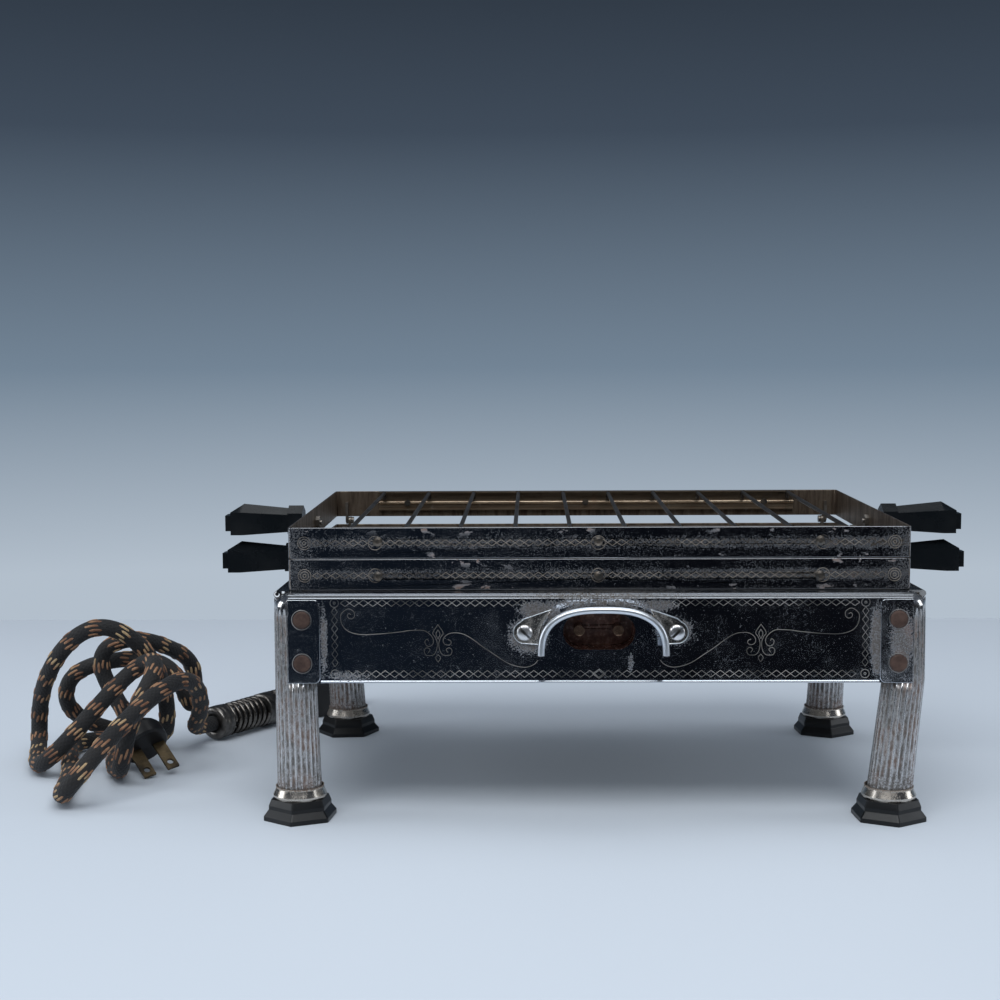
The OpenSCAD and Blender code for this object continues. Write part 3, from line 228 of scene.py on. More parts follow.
def make_floor():
    mat, g, shader, at = new_material("floor_paper", (0.56, 0.6, 0.655), 0, 0.55)
    shade = g.noise(at, 1.5, 2)
    g.put(shader.inputs["Base Color"], g.mix(shade, (0.54, 0.585, 0.64), (0.585, 0.625, 0.68)))
    for name, x0, x1, y0, y1, z in (("floor_near", -0.46, 0.43, -0.34, 0.42, 0.0), ("floor_far", -1.5, 1.5, -1.5, 0.5, -0.00002)):
        mesh = bpy.data.meshes.new(name)
        mesh.from_pydata([(x0, y0, z), (x1, y0, z), (x1, y1, z), (x0, y1, z)], [], [(0, 1, 2, 3)])
        obj = bpy.data.objects.new(name, mesh)
        scene.collection.objects.link(obj)
        mesh.materials.append(mat)
    bpy.data.objects["floor_far"].visible_glossy = False


make_floor()


# Helpers that make pieces

def piece(name, points, faces, mat, body, replaces=(), smooth=True, scale=MM):
    mesh = bpy.data.meshes.new(name)
    mesh.from_pydata([tuple(c * scale for c in p) for p in points], [], faces)
    mesh.validate()
    mesh.update()
    if smooth:
        mesh.polygons.foreach_set("use_smooth", [True] * len(mesh.polygons))
    obj = bpy.data.objects.new(name, mesh)
    scene.collection.objects.link(obj)
    for m in (mat if isinstance(mat, (list, tuple)) else [mat]):
        mesh.materials.append(m)
    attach(obj, body)
    if replaces:
        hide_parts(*replaces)
    return obj


def closed_normals(obj):
    bm = bmesh.new()
    bm.from_mesh(obj.data)
    bmesh.ops.recalc_face_normals(bm, faces=bm.faces)
    bm.to_mesh(obj.data)
    bm.free()


def frames_along(line, closed=False):
    """Sideways directions that follow a line without twisting."""
    n = len(line)
    ways = []
    for i in range(n):
        a = line[(i - 1) % n] if closed else line[max(i - 1, 0)]
        b = line[(i + 1) % n] if closed else line[min(i + 1, n - 1)]
        ways.append((b - a).normalized())
    side = ways[0].cross(Vector((0.3, 0.2, 1))).normalized()
    sides = []
    for w in ways:
        side = (side - side.dot(w) * w).normalized()
        sides.append((side, w.cross(side)))
    return sides


def tube_mesh(line, radius, sides, closed=False, caps=True):
    """Points and faces of a tube; radius is a number or a function of ring and side angle."""
    fr = frames_along(line, closed)
    points, faces = [], []
    n = len(line)
    for i, (p, (u, v)) in enumerate(zip(line, fr)):
        for k in range(sides):
            a = 2 * pi * k / sides
            r = radius(i, a) if callable(radius) else radius
            points.append(p + r * (cos(a) * u + sin(a) * v))
    for i in range(n if closed else n - 1):
        for k in range(sides):
            a, b = i * sides + k, i * sides + (k + 1) % sides
            c, d = (a + sides) % (n * sides), (b + sides) % (n * sides)
            faces.append((a, b, d, c))
    if caps and not closed:
        faces.append(tuple(range(sides - 1, -1, -1)))
        faces.append(tuple(range((n - 1) * sides, n * sides)))
    return points, faces


def join_meshes(parts):
    points, faces = [], []
    for p, f in parts:
        base = len(points)
        points += p
        faces += [tuple(i + base for i in face) for face in f]
    return points, faces


def smooth_line(points, steps, closed=False):
    """Catmull-Rom curve through given points."""
    pts = [Vector(p) for p in points]
    n = len(pts)
    line = []
    for i in range(n if closed else n - 1):
        if closed:
            a, b, c, d = (pts[(i + k) % n] for k in (-1, 0, 1, 2))
        else:
            b, c = pts[i], pts[i + 1]
            a = pts[i - 1] if i else 2 * b - c
            d = pts[i + 2] if i + 2 < n else 2 * c - b
        for k in range(steps):
            t = k / steps
            line.append(0.5 * ((2 * b) + (c - a) * t + (2 * a - 5 * b + 4 * c - d) * t * t
                               + (3 * b - a - 3 * c + d) * t ** 3))
    if not closed:
        line.append(pts[-1])
    return line


def soften(name, width=0.3, segments=2, angle=28, flat=False):
    """Rounds the edges of a carried-over CAD node with modifiers, leaving its own points alone."""
    obj = NODES[name]
    weld = obj.modifiers.new("weld", "WELD")
    weld.merge_threshold = 0.00001
    if flat:
        planar = obj.modifiers.new("planar", "DECIMATE")
        planar.decimate_type = "DISSOLVE"
        planar.angle_limit = radians(1)
    bevel = obj.modifiers.new("bevel", "BEVEL")
    bevel.width = width * MM
    bevel.segments = segments
    bevel.limit_method = "ANGLE"
    bevel.angle_limit = radians(angle)
    bevel.harden_normals = False
    obj.data.polygons.foreach_set("use_smooth", [True] * len(obj.data.polygons))
    normals = obj.modifiers.new("normals", "WEIGHTED_NORMAL")
    normals.keep_sharp = True
    return obj


def paint(name, mat):
    obj = NODES[name]
    obj.data.materials.clear()
    obj.data.materials.append(mat)


# The cord's route, from the back of the plug to the ferrule, in millimetres

ROUTE = [
    (-236, 9, 23), (-249, 22, 36), (-258, 28, 50), (-253, 28, 61), (-238, 36, 63), (-225, 54, 54), (-217, 69, 45),
    (-216, 72, 30), (-214, 55, 22), (-213, 38, 27), (-218, 34, 46), (-234, 38, 52), (-260, 42, 49), (-278, 42, 42),
    (-284, 50, 23), (-272, 64, 9), (-248, 62, 5), (-229, 48, 5), (-222, 31, 18), (-221, 22, 40), (-229, 13, 63),
    (-248, 1, 78), (-268, 2, 65), (-282, 14, 44), (-291, 32, 25), (-291, 32, 6), (-285, 8, 5), (-277, -16, 5),
    (-263, -19, 17), (-242, -2, 43), (-231, 6, 53), (-220, -2, 59), (-216, -20, 53), (-224, -33, 38), (-228, -39, 18),
    (-232, -28, 5), (-245, 0, 5), (-244, 26, 5), (-248, 45, 5), (-264, 52, 5), (-277, 38, 5), (-268, 8, 5),
    (-257, -26, 5), (-252, -56, 5), (-248, -74, 6), (-238, -76, 18), (-227, -58, 33), (-214, -38, 46), (-202, -18, 53),
    (-199, 6, 41), (-204, 28, 22), (-215, 51, 9.8), (-206, 66, 9.8)]
CORD_D = 8.6
GUARD_AT = Vector((-206, 66, 9.8))
GUARD_WAY = Vector((3, 5, 0)).normalized()
GUARD_L = 68
ROUTE_ALL = [Vector(p) for p in ROUTE] + [GUARD_AT + GUARD_WAY * GUARD_L / 2, GUARD_AT + GUARD_WAY * GUARD_L]


def on_route(u):
    p = ROUTE_ALL
    n = len(p) - 1
    i = min(int(u), n - 1)
    t = u - i
    before = p[i - 1] if i else 2 * p[0] - p[1]
    after = p[i + 2] if i < n - 1 else 2 * p[n] - p[n - 1]
    return ((1 - t) ** 3 * before + (3 * t ** 3 - 6 * t * t + 4) * p[i]
            + (-3 * t ** 3 + 3 * t * t + 3 * t + 1) * p[i + 1] + t ** 3 * after) / 6


def even_route(step):
    """Points of the cord's centreline at equal steps, and its whole length."""
    n = len(ROUTE_ALL) - 1
    fine = [on_route(i * n / 4000) for i in range(4001)]
    along = [0.0]
    for a, b in zip(fine, fine[1:]):
        along.append(along[-1] + (b - a).length)
    count = round(along[-1] / step)
    line, j = [], 0
    for k in range(count + 1):
        s = along[-1] * k / count
        while j < len(fine) - 2 and along[j + 1] < s:
            j += 1
        t = (s - along[j]) / max(along[j + 1] - along[j], 1e-9)
        line.append(fine[j].lerp(fine[j + 1], min(max(t, 0), 1)))
    return line, along[-1]


def blob(g, at, centre, size, hard=0.55):
    """1 near a place, 0 beyond an ellipsoid round it, in millimetres."""
    shift = g.node("ShaderNodeVectorMath", operation="SUBTRACT")
    g.put(shift.inputs[0], at)
    shift.inputs[1].default_value = [c * MM for c in centre]
    grow = g.node("ShaderNodeVectorMath", operation="MULTIPLY")
    g.put(grow.inputs[0], shift.outputs[0])
    grow.inputs[1].default_value = [1 / (c * MM) for c in size]
    length = g.node("ShaderNodeVectorMath", operation="LENGTH")
    g.put(length.inputs[0], grow.outputs[0])
    return g.ramp(length.outputs["Value"], 1.0, hard)


def either(g, *masks):
    total = masks[0]
    for m in masks[1:]:
        total = g.math("MAXIMUM", total, m)
    return total


def axis_of(g, at, index):
    split = g.node("ShaderNodeSeparateXYZ")
    g.put(split.inputs[0], at)
    return split.outputs[index]


def attribute(g, name):
    n = g.node("ShaderNodeAttribute", attribute_name=name)
    return n.outputs["Fac"]


def plated(name, metal=(0.6, 0.62, 0.65), rough=0.07, pits=0.6, cloud=0.25, patches=(), streaks=0.0, groove=False,
           cover_dark=(0.03, 0.024, 0.019), cover_light=(0.11, 0.083, 0.062), rust=0.0, wave=0.06):
    """Polished plating with pits, cloudy wear, stains at named places and rust; a patch may also stand for painted
    shade, as low on the legs.
    """
    mat, g, shader, at = new_material(name, metal, 1.0, rough)
    soft = g.noise(at, 60, 4, 0.6)
    grain = g.noise(at, 330, 5, 0.7)
    crumb = g.noise(at, 1500, 3, 0.7)
    cluster = g.ramp(g.noise(at, 42, 3), 0.46, 0.66)
    dots = g.math("MULTIPLY", g.specks(at, 1500, 0.34), g.math("ADD", g.math("MULTIPLY", cluster, 0.85), 0.1))
    small = g.math("MULTIPLY", g.ramp(g.math("ADD", g.math("MULTIPLY", grain, 0.5), g.math("MULTIPLY", crumb, 0.5)), 0.53, 0.6), cluster)
    dots = g.math("MULTIPLY", either(g, dots, g.math("MULTIPLY", small, 0.6)), pits, clamp=True)
    haze = g.math("MULTIPLY", g.ramp(g.math("ADD", soft, g.math("MULTIPLY", crumb, 0.25)), 0.62, 0.95), cloud)
    cover = either(g, dots, haze)
    for centre, size, share in patches:
        edge = g.math("MULTIPLY", blob(g, at, centre, size, 0.25), share)
        level = g.math("ADD", edge, g.math("MULTIPLY", g.math("SUBTRACT", grain, 0.5), 0.8))
        level = g.math("ADD", level, g.math("MULTIPLY", g.math("SUBTRACT", crumb, 0.5), 2.4))
        broken = g.math("MULTIPLY", g.ramp(level, 0.3, 0.85), g.math("ADD", g.math("MULTIPLY", crumb, 0.7), 0.5), clamp=True)
        cover = either(g, cover, broken)
    if streaks:
        run = g.ramp(g.noise(at, 190, 4, 0.65, (5, 5, 0.5)), 0.5, 0.72)
        cover = either(g, cover, g.math("MULTIPLY", run, streaks))
    if groove:
        spread = g.math("ADD", g.math("MULTIPLY", g.noise(at, 620, 4, 0.75, (1, 1, 0.45)), 3.4), -0.85)
        deep = g.math("MULTIPLY", attribute(g, "groove"), spread, clamp=True)
        cover = either(g, cover, g.math("MULTIPLY", deep, 0.9))
    tone = g.mix(g.math("ADD", g.math("MULTIPLY", soft, 0.5), g.math("MULTIPLY", grain, 0.5)), cover_dark, cover_light)
    if rust:
        red = g.math("MULTIPLY", g.ramp(g.noise(at, 240, 5, 0.7), 0.58, 0.66), rust)
        tone = g.mix(g.ramp(g.noise(at, 90, 3), 0.42, 0.62), tone, (0.12, 0.066, 0.042))
        cover = either(g, cover, red)
    g.put(shader.inputs["Base Color"], g.mix(cover, metal, tone))
    g.put(shader.inputs["Metallic"], g.math("SUBTRACT", 1.0, g.math("MULTIPLY", cover, 0.7)))
    g.put(shader.inputs["Roughness"], g.mix(cover, g.math("ADD", g.math("MULTIPLY", soft, 0.06), rough - 0.02), 0.58, "FLOAT"))
    height = g.math("ADD", g.math("MULTIPLY", g.noise(at, 14, 1), 5.0), g.math("MULTIPLY", g.math("MULTIPLY", cover, crumb), 0.6))
    bump(g, shader, height, wave, 0.0008)
    return mat


def plastic(name, base, rough, dust, edge=0.0):
    mat, g, shader, at = new_material(name, base, 0, rough)
    cloud = g.noise(at, 60, 4)
    specks = g.math("MULTIPLY", g.specks(at, 1100, 0.25), g.ramp(g.noise(at, 40, 3), 0.45, 0.7))
    film = either(g, g.math("MULTIPLY", g.ramp(cloud, 0.45, 0.85), dust * 0.5), g.math("MULTIPLY", specks, dust))
    g.put(shader.inputs["Base Color"], g.mix(film, base, (0.23, 0.22, 0.21)))
    g.put(shader.inputs["Roughness"], g.mix(cloud, rough - 0.08, rough + 0.14, "FLOAT"))
    shader.inputs["Specular IOR Level"].default_value = 0.32
    bump(g, shader, g.math("ADD", g.noise(at, 300, 3), g.math("MULTIPLY", g.noise(at, 25, 2), 2.0)), 0.12, 0.0003)
    return mat


FRONT_Y = STAND_Y - 93.7
HALO = [((-31.5, FRONT_Y, 84.5), (13, 9, 12), 1.05), ((33.5, FRONT_Y, 86), (12, 9, 9), 0.95),
        ((-27, FRONT_Y, 95.5), (14, 9, 7), 0.9), ((26, FRONT_Y, 98), (14, 9, 4.5), 0.75)]
PANEL_WEAR = HALO + [((0, FRONT_Y, 99), (40, 9, 3), 0.7), ((123, FRONT_Y, 82), (5, 9, 24), 1.0), ((-122.5, FRONT_Y, 82), (2.6, 9, 24), 0.75),
                     ((-112, FRONT_Y, 66), (14, 9, 3.5), 0.55), ((14, FRONT_Y, 72), (1.8, 9, 7), 0.7)]
mat_panel = plated("panel_plating", (0.6, 0.63, 0.68), 0.06, 0.15, 0.06, PANEL_WEAR, wave=0.05)
mat_side = plated("side_plating", (0.6, 0.63, 0.68), 0.07, 0.6, 0.22, (), streaks=0.25, rust=0.25, wave=0.05)
# painted shade: the rim's plating is a darkened copy of the chrome, so that the bead's highlight stays grey
mat_rim_dimmed = plated("rim_plating_dimmed", (0.15, 0.158, 0.17), 0.17, 0.5, 0.2, [((0, -88, 102), (70, 14, 6), 0.55)], wave=0.03)
# The low patch on the legs is brown staining between the flutes, and also painted shade towards their feet.
mat_leg = plated("leg_plating", (0.62, 0.62, 0.63), 0.12, 0.7, 0.25, [((0, 0, 10), (400, 400, 26), 0.8)], streaks=0.35, groove=True,
                 cover_dark=(0.02, 0.016, 0.013), cover_light=(0.1, 0.083, 0.068), rust=0.12, wave=0.06)
mat_flange = plated("flange_plating", (0.6, 0.63, 0.68), 0.08, 0.7, 0.12, [((134, FRONT_Y, 82), (9, 9, 19), 0.85)], rust=0.15, wave=0.06)
mat_hood = plated("hood_plating", (0.76, 0.77, 0.79), 0.08, 0.3, 0.12, [((-30, FRONT_Y, 86), (11, 6, 16), 0.8), ((32, FRONT_Y, 86), (10, 6, 12), 0.7)], wave=0.03)
mat_screw = plated("screw_plating", (0.75, 0.75, 0.76), 0.27, 0.6, 0.3, wave=0.05)
mat_ring = plated("ring_plating", (0.52, 0.48, 0.43), 0.2, 0.6, 0.5, [((0, 0, 15), (400, 400, 1.7), 0.9)], streaks=0.25, cover_dark=(0.12, 0.07, 0.045), cover_light=(0.3, 0.24, 0.19), rust=0.3, wave=0.06)
mat_handle = plastic("handle_black", (0.004, 0.0055, 0.007), 0.24, 0.03)
mat_foot = plastic("foot_black", (0.005, 0.0055, 0.0065), 0.34, 0.06)


def rivet_material():
    mat, g, shader, at = new_material("rivet_rust", (0.12, 0.07, 0.05), 0.35, 0.6)
    patch = g.noise(at, 160, 5, 0.7)
    tone = g.mix(g.ramp(patch, 0.35, 0.7), (0.045, 0.024, 0.018), (0.1, 0.058, 0.044))
    g.put(shader.inputs["Base Color"], tone)
    bump(g, shader, g.noise(at, 700, 4, 0.7), 0.5, 0.0003)
    return mat


def tarnish_material(name, light, dark, rough=0.42, metallic=0.75, streaks=0.8, rust=0.6, direction=(12, 12, 1)):
    """Plating browned by heat, with streaks and rust."""
    mat, g, shader, at = new_material(name, light, metallic, rough)
    run = g.noise(at, 28, 5, 0.65, direction)
    tone = g.mix(g.math("MULTIPLY", g.ramp(run, 0.38, 0.72), streaks), light, dark)
    spots = g.math("MULTIPLY", g.ramp(g.noise(at, 130, 5, 0.75), 0.56, 0.68), rust)
    tone = g.mix(spots, tone, (0.16, 0.075, 0.04))
    pale = g.math("MULTIPLY", g.ramp(g.noise(at, 210, 3, 0.6), 0.62, 0.75), 0.35)
    tone = g.mix(pale, tone, (0.55, 0.5, 0.43))
    g.put(shader.inputs["Base Color"], tone)
    g.put(shader.inputs["Roughness"], g.mix(run, rough - 0.1, rough + 0.22, "FLOAT"))
    g.put(shader.inputs["Metallic"], g.math("SUBTRACT", metallic, g.math("MULTIPLY", spots, 0.6)))
    bump(g, shader, g.math("ADD", g.noise(at, 520, 4, 0.7), run), 0.22, 0.0003)
    return mat


def rack_face_material(name, z0, z1, slope=0.0):
    """Outside of a rack: dark plating with a worn band and chips, and painted shade along its top and bottom edges.
    Inside: plating browned by heat.
    """
    metal = (0.52, 0.54, 0.58)
    mat, g, shader, at = new_material(name, metal, 1.0, 0.12)
    x, y, z = (axis_of(g, at, i) for i in range(3))
    z = g.math("SUBTRACT", z, g.math("MULTIPLY", g.math("ADD", y, 0.0827), slope))
    soft = g.noise(at, 60, 4, 0.6)
    grain = g.noise(at, 330, 5, 0.7)
    crumb = g.noise(at, 1500, 3, 0.7)
    off = g.math("ABSOLUTE", g.math("SUBTRACT", z, (z0 + z1) / 2 * MM))
    rough_edge = g.math("ADD", g.math("MULTIPLY", g.math("SUBTRACT", grain, 0.5), 0.7), g.math("MULTIPLY", g.math("SUBTRACT", crumb, 0.5), 2.4))
    right = g.math("MULTIPLY", g.ramp(x, 0.0, 0.12), 0.2)
    band = g.math("MULTIPLY", g.ramp(off, 0.0044, 0.0008), g.math("ADD", g.math("MULTIPLY", soft, 0.7), g.math("ADD", right, 0.1)))
    ends = g.math("MULTIPLY", g.ramp(g.math("ABSOLUTE", x), 0.118, 0.14), 0.45)
    level = g.math("ADD", either(g, band, ends), rough_edge)
    cover = g.math("MULTIPLY", g.ramp(level, 0.26, 0.95), 0.85)
    dots = g.math("MULTIPLY", g.specks(at, 1500, 0.33), g.ramp(g.noise(at, 42, 3), 0.42, 0.62))
    cover = either(g, cover, g.math("MULTIPLY", dots, 0.4))
    edges = g.ramp(off, 0.0035, 0.0066)
    chips = g.ramp(g.noise(at, 170, 4, 0.6, (0.8, 1, 1.3)), 0.585, 0.62)
    chips = g.math("MULTIPLY", chips, g.math("ADD", g.math("MULTIPLY", edges, 0.7), 0.2))
    chips = g.math("MULTIPLY", chips, g.ramp(g.noise(at, 24, 2), 0.46, 0.58))
    tone = g.mix(g.math("ADD", g.math("MULTIPLY", soft, 0.4), g.math("MULTIPLY", grain, 0.6)), (0.009, 0.0075, 0.0065), (0.055, 0.042, 0.032))
    outside = g.mix(g.math("MULTIPLY", cover, 1.5, clamp=True), metal, tone)
    outside = g.mix(chips, outside, g.mix(crumb, (0.09, 0.036, 0.015), (0.25, 0.12, 0.055)))
    # painted shade: the metal turns dark grey along the frame's top and bottom edges, so that their bevels show only a
    # faint highlight
    outside = g.mix(g.math("MULTIPLY", g.ramp(off, 0.0064, 0.0069), 0.75), outside, (0.1, 0.1, 0.105))
    both = either(g, cover, chips)
    run = g.noise(at, 170, 5, 0.65, (1.6, 1.6, 0.22))
    inside = g.mix(g.ramp(run, 0.36, 0.68), (0.18, 0.142, 0.108), (0.06, 0.04, 0.029))
    spots = g.math("MULTIPLY", g.ramp(g.noise(at, 420, 5, 0.75), 0.56, 0.66), 0.7)
    inside = g.mix(spots, inside, (0.075, 0.036, 0.022))
    drips = g.math("MULTIPLY", g.ramp(g.noise(at, 90, 3, 0.6, (2.5, 2.5, 0.12)), 0.66, 0.72), 0.75)
    inside = g.mix(drips, inside, (0.11, 0.04, 0.025))
    half_x = g.ramp_linear(g.math("ABSOLUTE", x), 0.13885, 0.1389)
    half_y = g.ramp_linear(g.math("ABSOLUTE", g.math("SUBTRACT", y, STAND_Y * MM)), 0.08555, 0.0856)
    out = g.math("MAXIMUM", half_x, half_y, clamp=True)
    g.put(shader.inputs["Base Color"], g.mix(out, inside, outside))
    g.put(shader.inputs["Metallic"], g.mix(out, g.math("SUBTRACT", 0.75, g.math("MULTIPLY", spots, 0.5)),
                                           g.math("SUBTRACT", 1.0, g.math("MULTIPLY", both, 0.9)), "FLOAT"))
    g.put(shader.inputs["Roughness"], g.mix(out, g.math("ADD", g.math("MULTIPLY", run, 0.3), 0.3), g.mix(both, 0.1, 0.5, "FLOAT"), "FLOAT"))
    bump(g, shader, g.math("ADD", g.math("MULTIPLY", g.noise(at, 20, 2), 3.0), g.math("MULTIPLY", both, crumb)), 0.12, 0.0006)
    return mat


def line_material(name, light, dark):
    mat, g, shader, at = new_material(name, light, 0.5, 0.5)
    fade = g.ramp(g.noise(at, 45, 3, 0.6), 0.36, 0.6)
    g.put(shader.inputs["Base Color"], g.mix(fade, dark, light))
    return mat


mat_rivet = rivet_material()
mat_inside = tarnish_material("rack_inside", (0.42, 0.36, 0.29), (0.17, 0.115, 0.08))
mat_strip = tarnish_material("strip_bronze", (0.34, 0.27, 0.2), (0.11, 0.072, 0.046), 0.28, 0.9, 0.7, 0.45, (1, 12, 12))
mat_wire = tarnish_material("wire_brown", (0.1, 0.088, 0.078), (0.035, 0.028, 0.024), 0.34, 0.85, 0.8, 0.4, (12, 1, 12))
mat_sheet = tarnish_material("inner_sheet", (0.5, 0.48, 0.44), (0.26, 0.21, 0.17), 0.4, 0.85, 0.6, 0.25, (2, 2, 2))
mat_lower = rack_face_material("lower_rack_face", 103.7, 117.7)
mat_upper = rack_face_material("upper_rack_face", 118.0, 132.0, 0.0239)
mat_line = line_material("engraving", (0.36, 0.345, 0.33), (0.08, 0.077, 0.074))
mat_faint = line_material("faint_engraving", (0.24, 0.225, 0.21), (0.07, 0.066, 0.062))
mat_worn = line_material("worn_engraving", (0.27, 0.235, 0.2), (0.06, 0.05, 0.043))


def wires(name, lines, radius, mat, body, sides=2, replaces=(), closed=False, flatten=None):
    """Round stock along lines of points in millimetres, made from a curve."""
    data = bpy.data.curves.new(name, "CURVE")
    data.dimensions = "3D"
    data.bevel_depth = radius * MM
    data.bevel_resolution = sides
    data.use_fill_caps = not closed
    for line in lines:
        spline = data.splines.new("POLY")
        spline.points.add(len(line) - 1)
        spline.points.foreach_set("co", [c for p in line for c in (p[0] * MM, p[1] * MM, p[2] * MM, 1)])
        spline.use_cyclic_u = closed
    curve = bpy.data.objects.new(name + "_line", data)
    scene.collection.objects.link(curve)
    mesh = bpy.data.meshes.new_from_object(curve)
    bpy.data.objects.remove(curve)
    bpy.data.curves.remove(data)
    mesh.name = name
    mesh.materials.clear()
    obj = bpy.data.objects.new(name, mesh)
    scene.collection.objects.link(obj)
    bm = bmesh.new()
    bm.from_mesh(mesh)
    if flatten:
        axis, plane, share = flatten
        for v in bm.verts:
            v.co[axis] = plane * MM + (v.co[axis] - plane * MM) * share
    bmesh.ops.recalc_face_normals(bm, faces=bm.faces)
    bm.to_mesh(mesh)
    bm.free()
    mesh.polygons.foreach_set("use_smooth", [True] * len(mesh.polygons))
    mesh.materials.append(mat)
    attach(obj, body)
    if replaces:
        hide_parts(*replaces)
    return obj


def solid(name, bm, mat, body, replaces=(), smooth=True):
    """Makes a piece of a bmesh drawn in millimetres."""
    bmesh.ops.remove_doubles(bm, verts=bm.verts, dist=0.001)
    bmesh.ops.recalc_face_normals(bm, faces=bm.faces)
    bmesh.ops.scale(bm, vec=(MM, MM, MM), verts=bm.verts)
    mesh = bpy.data.meshes.new(name)
    bm.to_mesh(mesh)
    bm.free()
    if smooth:
        mesh.polygons.foreach_set("use_smooth", [True] * len(mesh.polygons))
    obj = bpy.data.objects.new(name, mesh)
    scene.collection.objects.link(obj)
    mesh.materials.append(mat)
    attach(obj, body)
    if replaces:
        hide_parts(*replaces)
    return obj


def rounding(obj, width, segments=2, angle=30):
    bevel = obj.modifiers.new("bevel", "BEVEL")
    bevel.width = width * MM
    bevel.segments = segments
    bevel.limit_method = "ANGLE"
    bevel.angle_limit = radians(angle)
    normals = obj.modifiers.new("normals", "WEIGHTED_NORMAL")
    normals.keep_sharp = True


# Cord set

def braid_material():
    mat, g, shader, at = new_material("cord_braid", (0.012, 0.012, 0.014), 0, 0.8)
    uv = g.node("ShaderNodeUVMap", uv_map="braid").outputs[0]
    u, v = axis_of(g, uv, 0), axis_of(g, uv, 1)
    right = g.math("SINE", g.math("ADD", g.math("MULTIPLY", u, 2 * pi * 12), v))
    left = g.math("SINE", g.math("SUBTRACT", g.math("MULTIPLY", u, 2 * pi * 12), v))
    weave = g.math("MULTIPLY", g.math("ADD", g.math("MAXIMUM", right, left), 1.0), 0.5)
    fuzz = g.noise(at, 1600, 3, 0.7)
    cloud = g.noise(at, 70, 4, 0.6)
    tone = g.mix(g.ramp(cloud, 0.35, 0.75), (0.004, 0.004, 0.005), (0.015, 0.0125, 0.011))
    tone = g.mix(g.math("MULTIPLY", g.ramp(fuzz, 0.6, 0.75), 0.25), tone, (0.12, 0.09, 0.065))
    g.put(shader.inputs["Base Color"], g.mix(g.math("MULTIPLY", weave, 0.65), tone, (0.009, 0.009, 0.0105)))
    shader.inputs["Sheen Weight"].default_value = 0.05
    shader.inputs["Sheen Roughness"].default_value = 0.5
    bump(g, shader, g.math("ADD", weave, g.math("MULTIPLY", fuzz, 0.7)), 0.6, 0.0003)
    return mat


def dash_material():
    mat, g, shader, at = new_material("cord_dashes", (0.4, 0.24, 0.12), 0, 0.75)
    pick = g.noise(at, 95, 2, 0.5)
    tone = g.mix(g.ramp(pick, 0.38, 0.5), (0.14, 0.06, 0.03), (0.29, 0.15, 0.078))
    tone = g.mix(g.ramp(pick, 0.52, 0.64), tone, (0.4, 0.28, 0.15))
    fuzz = g.noise(at, 2000, 3, 0.7)
    tone = g.mix(g.math("MULTIPLY", g.ramp(fuzz, 0.45, 0.7), 0.45), tone, (0.08, 0.04, 0.022))
    g.put(shader.inputs["Base Color"], tone)
    bump(g, shader, fuzz, 0.5, 0.0002)
    return mat


def dark_metal(name, base, rough, worn, metallic=0.9):
    mat, g, shader, at = new_material(name, base, metallic, rough)
    patch = g.noise(at, 90, 5, 0.7)
    scratch = g.noise(at, 240, 4, 0.7, (1, 1, 5))
    tone = g.mix(g.ramp(patch, 0.42, 0.7), base, worn)
    tone = g.mix(g.math("MULTIPLY", g.ramp(scratch, 0.58, 0.72), 0.4), tone, (0.3, 0.27, 0.23))
    g.put(shader.inputs["Base Color"], tone)
    g.put(shader.inputs["Roughness"], g.mix(patch, rough - 0.1, rough + 0.18, "FLOAT"))
    bump(g, shader, scratch, 0.15, 0.0002)
    return mat


mat_braid = braid_material()
mat_dash = dash_material()
mat_guard = dark_metal("guard_steel", (0.17, 0.155, 0.14), 0.2, (0.04, 0.034, 0.03))
mat_ferrule = dark_metal("ferrule_steel", (0.17, 0.16, 0.15), 0.28, (0.05, 0.045, 0.04))
mat_blade = dark_metal("blade_brass", (0.1, 0.072, 0.038), 0.36, (0.03, 0.023, 0.015), 0.75)
mat_cordplug = plastic("plug_black", (0.01, 0.01, 0.011), 0.36, 0.12)


def cord_tube():
    line, length = even_route(0.9)
    sides = 26
    points, faces = tube_mesh(line, lambda i, a: 4.22 + 0.05 * noise.noise(Vector((i * 0.13, 2.2 * cos(a), 2.2 * sin(a)))), sides)
    obj = piece("cord_cover", points, faces, mat_braid, "stand", ("cord",))
    mesh = obj.data
    layer = mesh.uv_layers.new(name="braid")
    step = length / (len(line) - 1)
    for face in mesh.polygons:
        if len(face.vertices) != 4:
            continue
        rings = [vi // sides for vi in face.vertices]
        ks = [vi % sides for vi in face.vertices]
        wrap = max(ks) - min(ks) > 1
        for corner, ring, k in zip(face.loop_indices, rings, ks):
            layer.data[corner].uv = ((k + sides if wrap and k == 0 else k) / sides, ring * step * 2.2)
    return obj, line, length


